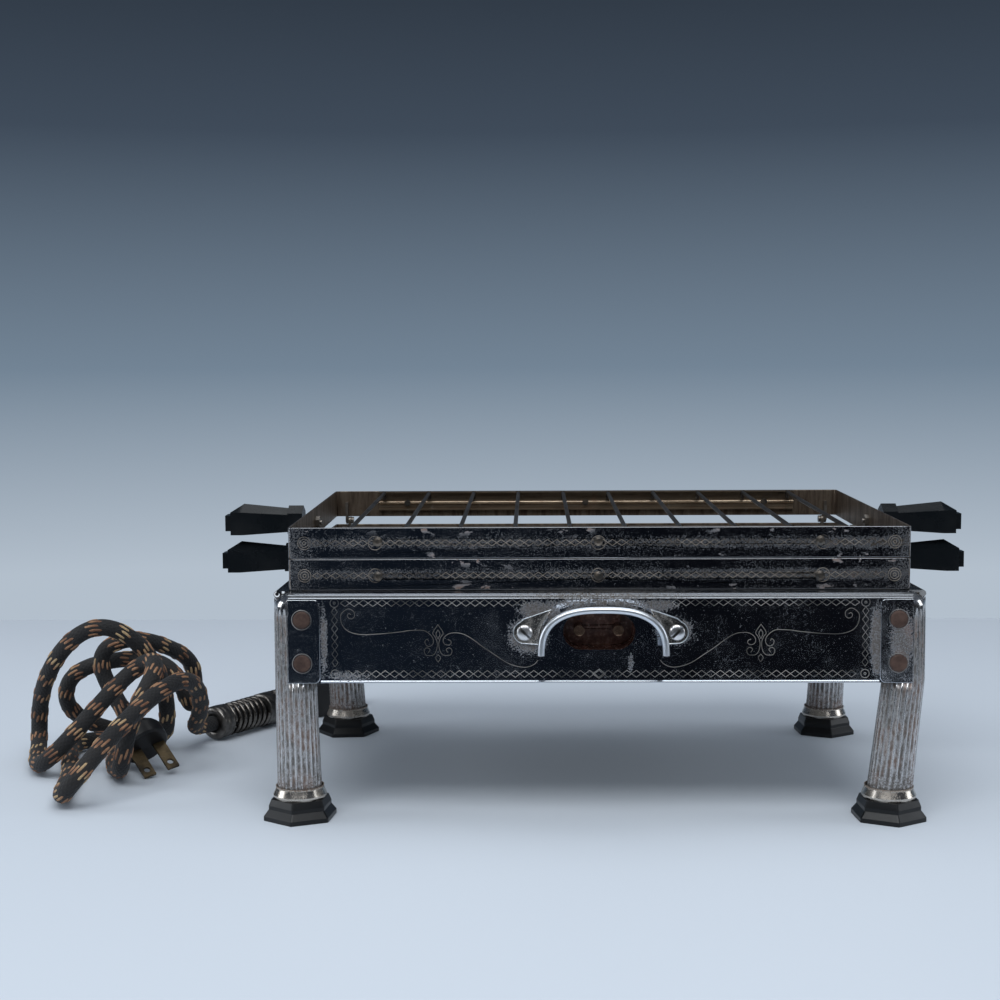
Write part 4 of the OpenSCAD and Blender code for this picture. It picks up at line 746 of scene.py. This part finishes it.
def cord_dashes(line, step):
    """Raised pale yarns in broken bands along the cord."""
    fr = frames_along(line)
    parts, count = [], 0
    at = 5.0
    group = 0
    while at < (len(line) - 1) * step - GUARD_L - 6:
        for k in range(11):
            s0 = at + (1.9 if k % 2 else 0) + 0.9 * noise.noise(Vector((k * 1.7, group * 2.3, 0.5)))
            long = 5.5 + 1.4 * noise.noise(Vector((k * 3.1, group * 1.1, 4.2)))
            a0 = 2 * pi * (k + 0.5 * (group % 2)) / 11 + 0.1 * noise.noise(Vector((group, k, 1.5)))
            twist = 0.22
            ring_line = []
            for j in range(7):
                t = j / 6
                f = (s0 + long * t) / step
                i = min(max(int(f), 0), len(line) - 2)
                mid = line[i].lerp(line[i + 1], min(max(f - i, 0), 1))
                u, v = fr[i]
                a = a0 + twist * (t - 0.5)
                lift = 3.8 - 0.4 * (2 * t - 1) ** 4
                ring_line.append(mid + lift * (cos(a) * u + sin(a) * v))
            parts.append(ring_line)
        at += 14.4 + 1.2 * noise.noise(Vector((group * 0.9, 3.3, 8.1)))
        group += 1
    return parts


def guard_point(at, r, a):
    side = GUARD_WAY.cross(Vector((0, 0, 1))).normalized()
    up = side.cross(GUARD_WAY)
    return GUARD_AT + GUARD_WAY * at + r * (cos(a) * side + sin(a) * up)


def guard_helix(at, long, turns, r1, r2, wire):
    line = []
    steps = turns * 28
    rise = long - wire
    for i in range(steps + 1):
        t = i / steps
        squeeze = t
        line.append(guard_point(at + wire / 2 + rise * squeeze, r1 + (r2 - r1) * t - wire / 2, 2 * pi * turns * t))
    return line


def along_guard(name, profile, mat, replaces, sides=56):
    """A turned ring round the guard's axis; profile is pairs of place and radius."""
    bm = bmesh.new()
    first = None
    verts = [bm.verts.new(guard_point(at, r, 0)) for at, r in profile]
    edges = [bm.edges.new((verts[i], verts[(i + 1) % len(verts)])) for i in range(len(verts))]
    bmesh.ops.spin(bm, geom=verts + edges, cent=GUARD_AT, axis=GUARD_WAY, angle=2 * pi, steps=sides, use_merge=True)
    return solid(name, bm, mat, "stand", replaces)


cord_piece, cord_line, cord_length = cord_tube()
cord_step = cord_length / (len(cord_line) - 1)
dashes = wires("cord_yarns", cord_dashes(cord_line, cord_step), 0.8, mat_dash, "stand", 1)
spring = wires("guard_curls", [guard_helix(9, 30, 7, 9.0, 9.3, 2.2)], 1.1, mat_guard, "stand", 3, ("guard_spring",))
tail_spring = wires("guard_tail_curls", [guard_helix(48, 20, 5, 9.4, 9.6, 2.2)], 1.1, mat_guard, "stand", 3,
                    ("guard_tail_spring",))
ferrule = along_guard("guard_end_ring", [(0, 4.6), (0, 7.6), (0.5, 8.6), (1.4, 9.1), (2.6, 9.2), (3.2, 8.9), (3.8, 9.2), (6.8, 9.2), (7.4, 8.8),
                                         (8, 9.1), (8.8, 9.1), (9, 8.7), (9, 4.6)], mat_ferrule, ("guard_ferrule",))
band = along_guard("guard_middle_band", [(39, 4.6), (39, 8.9), (39.3, 9.3), (40, 9.45), (40.7, 9.25), (41.3, 9.45), (46.2, 9.5), (46.8, 9.25),
                                         (47.4, 9.5), (47.8, 9.3), (48, 8.9), (48, 4.6)], mat_ferrule, ("guard_band",))
paint("connector_body", mat_cordplug)
soften("connector_body", 0.8, 3)
paint("connector_screws", mat_blade)
paint("plug_body", mat_cordplug)
soften("plug_body", 0.25, 2, 20)
paint("plug_blades", mat_blade)
soften("plug_blades", 0.18, 2)


# Legs: a fluted column, a corner shell with its dome, and two flanges, all of one sheet

FLUTES = 24
LEG_R, LEG_FOOT_R, SHOULDER = 9.35, 10.1, 6.5
CORNERS = {"front_left": (-1, -1, 1.2), "front_right": (1, -1, 6.2), "rear_left": (-1, 1, 3.2), "rear_right": (1, 1, 3.2)}


def flute_share(a, z):
    """Depth of the pressed flutes round a leg, which end in points under the dome."""
    wave = abs(sin(a * FLUTES / 2))
    close = min(max((z - 91.5) / 5.0, 0), 1)
    close = max(close, min(max((12.5 - z) / 4.0, 0), 1) * 0.6)
    return max(0.0, wave - close) ** 0.8 if close < 1 else 0.0


def raise_ring(bm, ring, depth, r, z):
    """Extrudes a ring of edges to a height and sets its flutes."""
    new = bmesh.ops.extrude_edge_only(bm, edges=ring)["geom"]
    for v in (g for g in new if isinstance(g, bmesh.types.BMVert)):
        a = math.atan2(v.co.y, v.co.x)
        share = flute_share(a, z)
        v.co = Vector(((r - 0.65 * share) * cos(a), (r - 0.65 * share) * sin(a), z))
        v[depth] = share
    return [g for g in new if isinstance(g, bmesh.types.BMEdge) and g.is_boundary]


def leg_piece(corner):
    sx, sy, lean = CORNERS[corner]
    bm = bmesh.new()
    depth = bm.verts.layers.float.new("groove")

    def start(r, z):
        bmesh.ops.create_circle(bm, segments=FLUTES * 8, radius=r)
        bm.verts.ensure_lookup_table()
        ring = bm.verts[-FLUTES * 8:]
        for v in ring:
            a = math.atan2(v.co.y, v.co.x)
            share = flute_share(a, z)
            v.co = Vector(((r - 0.65 * share) * cos(a), (r - 0.65 * share) * sin(a), z))
            v[depth] = share
        return [e for e in bm.edges if e.is_wire]

    edges = start(LEG_FOOT_R, 10.5)
    for i in range(1, 13):
        z = 10.5 + 52.5 * i / 12
        edges = raise_ring(bm, edges, depth, LEG_FOOT_R + (LEG_R - LEG_FOOT_R) * i / 12, z)
    column = list(bm.verts)
    for v in column:
        v.co.x += math.tan(radians(lean)) * (63 - v.co.z)
    kept = set(column)
    edges = start(LEG_R, 63)
    for z in (70, 78, 86, 90, 92, 93, 94, 95, 96, 97):
        edges = raise_ring(bm, edges, depth, LEG_R, z)
    for i in range(1, 13):
        t = radians(90 * i / 12)
        edges = raise_ring(bm, edges, depth, LEG_R * cos(t), 97 + SHOULDER * sin(t))
    shell = [v for v in bm.verts if v not in kept]
    for no in ((1, 0, 0), (0, 1, 0)):
        shell = [v for v in bm.verts if v.is_valid and v not in kept]
        geom = shell + [e for e in bm.edges if all(v in set(shell) for v in e.verts)]
        live = set(shell)
        geom = shell + [e for e in bm.edges if e.verts[0] in live] + [f for f in bm.faces if f.verts[0] in live]
        bmesh.ops.bisect_plane(bm, geom=geom, plane_co=tuple(-1.75 * n for n in no), plane_no=no, clear_outer=True)
    bmesh.ops.remove_doubles(bm, verts=bm.verts, dist=0.002)
    bm.normal_update()
    for f in bm.faces:
        mid = f.calc_center_median()
        away = Vector((mid.x - math.tan(radians(lean)) * max(63 - mid.z, 0), mid.y, 0.6 if mid.z > 100 else 0))
        if f.normal.dot(away) < 0:
            f.normal_flip()
    for v in bm.verts:
        v.co = Vector((sx * 136.5 - sx * v.co.x, sy * 85.5 - sy * v.co.y + STAND_Y, v.co.z))
    if sx * sy < 0:
        bmesh.ops.reverse_faces(bm, faces=bm.faces)
    bmesh.ops.scale(bm, vec=(MM, MM, MM), verts=bm.verts)
    mesh = bpy.data.meshes.new(corner + "_fluted_leg")
    bm.to_mesh(mesh)
    bm.free()
    mesh.polygons.foreach_set("use_smooth", [True] * len(mesh.polygons))
    obj = bpy.data.objects.new(mesh.name, mesh)
    scene.collection.objects.link(obj)
    mesh.materials.append(mat_leg)
    wall = obj.modifiers.new("sheet", "SOLIDIFY")
    wall.thickness = 0.8 * MM
    wall.offset = -1
    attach(obj, "stand")
    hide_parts(corner + "_leg")


def flange_piece(corner):
    """The leg's two flat flanges with their rounded free corners."""
    sx, sy, lean = CORNERS[corner]
    bm = bmesh.new()
    for turn in (0, 1):
        made = bmesh.ops.create_grid(bm, x_segments=1, y_segments=1, size=0.5)["verts"]
        for v in made:
            v.co = Vector((12.2 if v.co.x > 0 else -2.1, -9.0, 100.5 if v.co.y > 0 else 63))
        free = [v for v in made if v.co.x > 0]
        bmesh.ops.bevel(bm, geom=free, offset=2.5, segments=6, profile=0.5, affect="VERTICES", material=-1)
        face = [f for f in bm.faces if len(f.verts) > 4 and all(abs(v.co.y + 9.0) < 1e-4 for v in f.verts)][-1]
        back = bmesh.ops.extrude_face_region(bm, geom=[face])["geom"]
        bmesh.ops.translate(bm, vec=(0, 0.8, 0), verts=[g for g in back if isinstance(g, bmesh.types.BMVert)])
        if not turn:
            for v in bm.verts:
                v.co.x, v.co.y = v.co.y, v.co.x
    for v in bm.verts:
        v.co = Vector((sx * 136.5 - sx * v.co.x, sy * 85.5 - sy * v.co.y + STAND_Y, v.co.z))
    obj = solid(corner + "_flanges", bm, mat_flange, "stand", (corner + "_leg",))
    rounding(obj, 0.22)


for corner in CORNERS:
    leg_piece(corner)
    flange_piece(corner)


def rivet_rings():
    """Worn rings of plating round the flange rivets."""
    lines = []
    for sx, sy in ((-1, -1), (1, -1), (-1, 1), (1, 1)):
        for z in (91.55, 71.95):
            for a in range(2):
                line = []
                for i in range(25):
                    t = 2 * pi * i / 24
                    r = 4.35 + 0.18 * noise.noise(Vector((sx * 3 + cos(t), sy * 5 + sin(t), z + a)))
                    u, w = 4.2 + r * cos(t), z + r * sin(t)
                    local = (u, -9.0) if a == 0 else (-9.0, u)
                    line.append((sx * 136.5 - sx * local[0], sy * 85.5 - sy * local[1] + STAND_Y, w))
                lines.append(line)
    return lines


wires("rivet_rings", rivet_rings(), 0.16, mat_line, "stand", 0)

# Stand

for name in ("front_panel",):
    paint(name, mat_panel)
for name in ("left_panel", "right_panel", "rear_panel"):
    paint(name, mat_side)
for name in ("front_panel", "rear_panel", "left_panel", "right_panel"):
    soften(name, 0.12, 2)
paint("top_rim", mat_rim_dimmed)
soften("top_rim", 0.25, 2, 40)
for corner in ("front_left", "front_right", "rear_left", "rear_right"):
    paint(corner + "_ring", mat_ring)
    paint(corner + "_foot", mat_foot)
    soften(corner + "_foot", 0.55, 3, 15)
paint("leg_rivets", mat_rivet)
HOOD_FRONT = STAND_Y - 93.7


HOOD_X, EAR_X, SCREW_X = 1.4, 0.7, 33.75


def arch_line(half, top, y, foot=77.2, steps=44):
    """Points of the hood's arch from its left foot to its right foot."""
    line = []
    for i in range(steps + 1):
        t = pi * (1 - i / steps)
        wide = math.copysign(abs(cos(t)) ** 0.74, cos(t))
        line.append((HOOD_X + half * wide, y, foot + (top - foot) * max(sin(t), 0) ** 0.74))
    return line


def hood_piece():
    """Arched sheet of the hood, swept from the panel to its rolled lip, with its two ears."""
    bm = bmesh.new()
    rows = ((0.0, 28.5, 99.0), (-1.2, 28.2, 98.8), (-5, 28.1, 98.7), (-10, 28.1, 98.6), (-13.4, 27.9, 98.3))
    for side in (0.0, 0.9):
        loops = []
        for dy, half, top in rows:
            verts = [bm.verts.new(p) for p in arch_line(half - side, top - side, HOOD_FRONT + dy)]
            loops.append([bm.edges.new(pair) for pair in zip(verts, verts[1:])])
        for one, two in zip(loops, loops[1:]):
            bmesh.ops.bridge_loops(bm, edges=one + two)
    rim = [e for e in bm.edges if e.is_boundary]
    bmesh.ops.bridge_loops(bm, edges=rim)
    obj = solid("hood_arch", bm, mat_hood, "stand", ("inlet_hood",))
    rounding(obj, 0.15, 2, 40)
    wires("hood_lip", [arch_line(27.2, 97.7, HOOD_FRONT - 14.0, 77.7)], 1.5, mat_lip, "stand", 5)
    for s in (-1, 1):
        side = "left" if s < 0 else "right"
        bm = bmesh.new()
        outline = [(21.9, 96.0), (28.0, 93.95), (34.0, 91.85)]
        for i in range(0, 11):
            t = radians(66 - 14 * i)
            outline.append((33.75 + 5.0 * cos(t), 85.8 + 5.0 * sin(t)))
        outline += [(27.8, 80.5), (27.3, 84.0), (26.4, 88.0), (24.4, 92.0)]
        verts = [bm.verts.new((EAR_X + s * x, HOOD_FRONT - 0.9, z)) for x, z in outline]
        face = bm.faces.new(verts)
        back = bmesh.ops.extrude_face_region(bm, geom=[face])["geom"]
        bmesh.ops.translate(bm, vec=(0, 0.9, 0), verts=[v for v in back if isinstance(v, bmesh.types.BMVert)])
        obj = solid(f"hood_ear_{side}", bm, mat_ear, "stand")
        rounding(obj, 0.3, 3)
        border = [(EAR_X + s * x, HOOD_FRONT - 0.9, z) for x, z in outline[:15]]
        wires(f"hood_ear_{side}_border", [border], 0.2, mat_lip, "stand", 2)


mat_lip = plated("lip_plating", (0.78, 0.82, 0.87), 0.36, 0.25, 0.1, wave=0.02)
mat_ear = plated("ear_plating", (0.55, 0.52, 0.48), 0.2, 0.7, 0.9, cover_dark=(0.06, 0.048, 0.04), cover_light=(0.2, 0.165, 0.135), wave=0.04)
hood_piece()


def screw_heads():
    """Domed slotted heads of the hood's two screws, each of a disc and two half domes."""
    bm = bmesh.new()
    for s in (-1, 1):
        turn = Matrix.Translation((EAR_X + s * SCREW_X, HOOD_FRONT - 0.9, 85.8)) @ Matrix.Rotation(radians(90), 4, "X") @ Matrix.Rotation(radians(45 * s), 4, "Z")
        disc = bmesh.ops.create_cone(bm, cap_ends=True, segments=40, radius1=3.5, radius2=3.5, depth=0.7,
                                     matrix=Matrix.Translation((0, 0, 0.35)))["verts"]
        made = list(disc)
        for half in (-1, 1):
            profile = [bm.verts.new((3.5 * cos(radians(90 * i / 8)), 0, 0.7 + 1.15 * sin(radians(90 * i / 8)))) for i in range(9)]
            edges = [bm.edges.new(pair) for pair in zip(profile, profile[1:])]
            spun = bmesh.ops.spin(bm, geom=profile + edges, cent=(0, 0, 0), axis=(0, 0, 1), angle=2 * pi, steps=40, use_merge=True)
            known = set(made)
            live = [v for v in bm.verts if v not in known and v not in SCREW_DONE]
            bmesh.ops.remove_doubles(bm, verts=live, dist=0.001)
            live = [v for v in bm.verts if v not in known and v not in SCREW_DONE]
            near = set(live)
            geom = live + [e for e in bm.edges if e.verts[0] in near] + [f for f in bm.faces if f.verts[0] in near]
            bmesh.ops.bisect_plane(bm, geom=geom, plane_co=(0, half * 0.55, 0), plane_no=(0, -half, 0), clear_outer=True)
            live = [v for v in bm.verts if v not in known and v not in SCREW_DONE]
            near = set(live)
            open_edges = [e for e in bm.edges if e.is_boundary and e.verts[0] in near]
            bmesh.ops.holes_fill(bm, edges=open_edges, sides=0)
            made += live
        bmesh.ops.transform(bm, matrix=turn, verts=made)
        SCREW_DONE.update(made)
    obj = solid("hood_screw_heads", bm, mat_screw, "stand", ("hood_screws",))
    rounding(obj, 0.12, 2, 40)


SCREW_DONE = set()
screw_heads()
paint("hood_screws", mat_screw)
for name in ("reflector", "bottom_plate"):
    paint(name, mat_sheet)



def speckled(name, base, other, rough, metallic=0.0, scale=90, grain=0.2):
    mat, g, shader, at = new_material(name, base, metallic, rough)
    patch = g.noise(at, scale, 5, 0.65)
    g.put(shader.inputs["Base Color"], g.mix(g.ramp(patch, 0.38, 0.68), base, other))
    g.put(shader.inputs["Roughness"], g.mix(patch, rough - 0.08, rough + 0.12, "FLOAT"))
    bump(g, shader, g.noise(at, scale * 6, 4, 0.7), grain, 0.0003)
    return mat


mat_block = speckled("inlet_brown", (0.075, 0.028, 0.018), (0.19, 0.085, 0.055), 0.24, 0, 300)
mat_pin = speckled("pin_brass", (0.3, 0.19, 0.13), (0.12, 0.07, 0.045), 0.2, 0.85, 260)
mat_nut = speckled("nut_steel", (0.24, 0.22, 0.2), (0.12, 0.1, 0.08), 0.4, 0.9, 160)
mat_clay = speckled("fired_clay", (0.62, 0.57, 0.48), (0.45, 0.38, 0.3), 0.85, 0, 70, 0.4)
mat_coil = speckled("heating_wire", (0.33, 0.3, 0.28), (0.16, 0.13, 0.115), 0.5, 0.85, 300)
mat_lead = speckled("lead_cover", (0.5, 0.45, 0.36), (0.32, 0.26, 0.2), 0.9, 0, 120, 0.4)
mat_strip_rivet = speckled("strip_rivet", (0.1, 0.095, 0.09), (0.24, 0.2, 0.16), 0.35, 0.9, 300)

paint("inlet_block", mat_block)
soften("inlet_block", 0.4, 2, 40)
paint("inlet_pins", mat_pin)
soften("inlet_pins", 0.35, 2, 40)
paint("inlet_nuts", mat_nut)
paint("foot_screws", mat_nut)
paint("element_bars", mat_clay)
soften("element_bars", 0.4, 2, 40)
paint("lead_wires", mat_lead)


def coil_turns():
    """The heating coil: a close helix laid to and fro in seven runs."""
    run_y = [6 + (i - 3) * 22 for i in range(7)]
    middle = []
    for i, y in enumerate(run_y):
        ends = (-126.4, 126.4) if i % 2 == 0 else (126.4, -126.4)
        middle += [Vector((x, y + STAND_Y, 81.4)) for x in ends]
    rounded = [middle[0]]
    for a, b, c in zip(middle, middle[1:], middle[2:]):
        back, on = (a - b).normalized(), (c - b).normalized()
        rounded += [b + back * 6, b + back * 2 + on * 0.6, b + back * 0.6 + on * 2, b + on * 6]
    rounded.append(middle[-1])
    along = [0.0]
    for a, b in zip(rounded, rounded[1:]):
        along.append(along[-1] + (b - a).length)
    turns = 1300
    line, j = [], 0
    for k in range(turns * 10 + 1):
        s = along[-1] * k / (turns * 10)
        while j < len(rounded) - 2 and along[j + 1] < s:
            j += 1
        t = (s - along[j]) / (along[j + 1] - along[j])
        way = (rounded[j + 1] - rounded[j]).normalized()
        side = way.cross(Vector((0, 0, 1)))
        a = 2 * pi * k / 10
        line.append(rounded[j].lerp(rounded[j + 1], t) + 2.0 * (cos(a) * side + sin(a) * Vector((0, 0, 1))))
    return line


wires("heating_coil", [coil_turns()], 0.35, mat_coil, "stand", 0, ("element_coil",))

# Racks

for level, mat in (("lower", mat_lower), ("upper", mat_upper)):
    paint(level + "_frame", mat)
    soften(level + "_frame", 0.35, 3, 40)
    for part in ("front_strip", "rear_strip"):
        paint(f"{level}_{part}", mat_strip)
    paint(level + "_wires", mat_wire)
    paint(level + "_rivets", mat_strip_rivet)
    for side in ("left", "right"):
        paint(f"{level}_{side}_handle", mat_handle)
        soften(f"{level}_{side}_handle", 0.5, 3, 20)
    paint(level + "_handle_rods", mat_nut)
    paint(level + "_hinge_lugs", mat_nut)
paint("hinge_pins", mat_nut)


# Engraved lines

def chain(start, way, across, count, pitch, width):
    """The two crossing zigzags of a chain of lozenges; all places in millimetres."""
    start, way, across = Vector(start), Vector(way), Vector(across)
    lines = []
    for sign in (-1, 1):
        line = [start]
        for i in range(count):
            line.append(start + way * (pitch * (i + 0.5)) + across * (sign * width / 2 * (-1) ** i))
        line.append(start + way * (pitch * count))
        lines.append(line)
    return lines


PANEL_Y = STAND_Y - 93.7


def mirrored(lines):
    return lines + [[(-x, y, z) for x, y, z in line] for line in lines]


def circle_line(x, y, z, r, count=14):
    return [(x + r * cos(2 * pi * i / count), y, z + r * sin(2 * pi * i / count)) for i in range(count + 1)]


def panel_borders():
    y = PANEL_Y - 0.02
    right, up = (1, 0, 0), (0, 0, 1)
    lines = chain((-113.9, y, 67.1), right, up, 55, 4.14, 3.1)
    for x in (-117.7, 117.7):
        lines += chain((x, y, 70.4), up, right, 7, 3.8, 2.76)
        for z in (67.1, 99.3 - 0.3):
            lines += [circle_line(x, y, z, 1.9), circle_line(x, y, z, 0.5, 6)]
    lines += mirrored(chain((-115.0, y, 99.0), right, up, 20, 4.14, 3.0))
    lines += chain((-2.9, y, 67.1), right, up, 1, 5.8, 4.2)
    return lines


def panel_scrolls():
    y = PANEL_Y - 0.02
    drawn = [
        [(-110.3, 93.9), (-111.3, 94.3), (-111.9, 93.3), (-111.2, 92.2), (-109.9, 92.0), (-108.8, 93.1), (-109.0, 95.1), (-111.3, 96.4), (-113.6, 95.3), (-114.9, 93.3), (-114.3, 89.3), (-111.4, 86.3),
         (-106.0, 84.9), (-97.1, 85.2), (-88.1, 86.1), (-84.8, 86.6), (-78.8, 86.8), (-76.4, 85.9), (-74.6, 84.3), (-73.7, 82.5),
         (-73.8, 80.9), (-74.8, 79.7), (-76.2, 79.6), (-77.2, 80.5), (-77.4, 81.9), (-76.4, 82.8), (-75.8, 81.9)],
        [(-27.2, 73.2), (-28.9, 71.4), (-32.4, 70.1), (-36.8, 70.6), (-41.2, 72.3), (-46.5, 75.8), (-51.8, 79.4), (-56.9, 83.2),
         (-60.9, 85.2), (-64.9, 85.6), (-67.3, 84.9), (-68.9, 83.5), (-69.3, 81.9), (-68.7, 80.6), (-67.3, 80.1), (-65.9, 80.7),
         (-66.0, 82.0), (-67.3, 82.6)],
    ]
    half = [
        [(0, 89.3), (-2.3, 85.6), (-1.2, 83.7), (-0.4, 81.3), (-0.4, 79.3), (-1.0, 77.1), (-2.2, 75.7), (-4.0, 75.4), (-5.6, 75.8),
         (-6.2, 77.7), (-5.0, 78.9), (-3.6, 78.1), (-4.4, 76.7)],
        [(0, 87), (-0.9, 85.1), (0, 82.7)],
        [(0, 75.9), (-1.1, 74.3), (0, 72.4)],
    ]
    lines = [[(p.x, y, p.z) for p in smooth_line([(x, y, z) for x, z in line], 6)] for line in drawn]
    for side in (-1, 1):
        for line in half:
            curve = smooth_line([(-71.6 + side * x, y, z) for x, z in line], 5)
            lines.append([(p.x, y, p.z) for p in curve])
    return mirrored(lines)


wires("panel_borders", panel_borders(), 0.145, mat_line, "stand", 0, flatten=(1, PANEL_Y, 0.35))
wires("panel_scrolls", panel_scrolls(), 0.14, mat_faint, "stand", 0, flatten=(1, PANEL_Y, 0.35))

RACK_Y = STAND_Y - 86.0
for level, z, face, lean in (("lower", 110.3, RACK_Y, 0.0), ("upper", 125.0, RACK_Y - 0.17, 0.08)):
    lines = chain((-128.3, face - 0.03, z), (1, 0, 0), (0, 0, 1), 62, 4.14, 2.8)
    lines += [circle_line(x, face - 0.03, z, r) for x in (-131.9, 131.9) for r in (2.9, 1.9, 0.7)]
    lines += [circle_line(x, face - 0.03, z, 3.1, 18) for x in (-100.0, 0.0, 100.0)]
    lines = [[(x, y - lean * (up - z), up) for x, y, up in line] for line in lines]
    wires(level + "_rack_border", lines, 0.16, mat_worn, level + "_rack", 0, flatten=(1, face, 0.3))
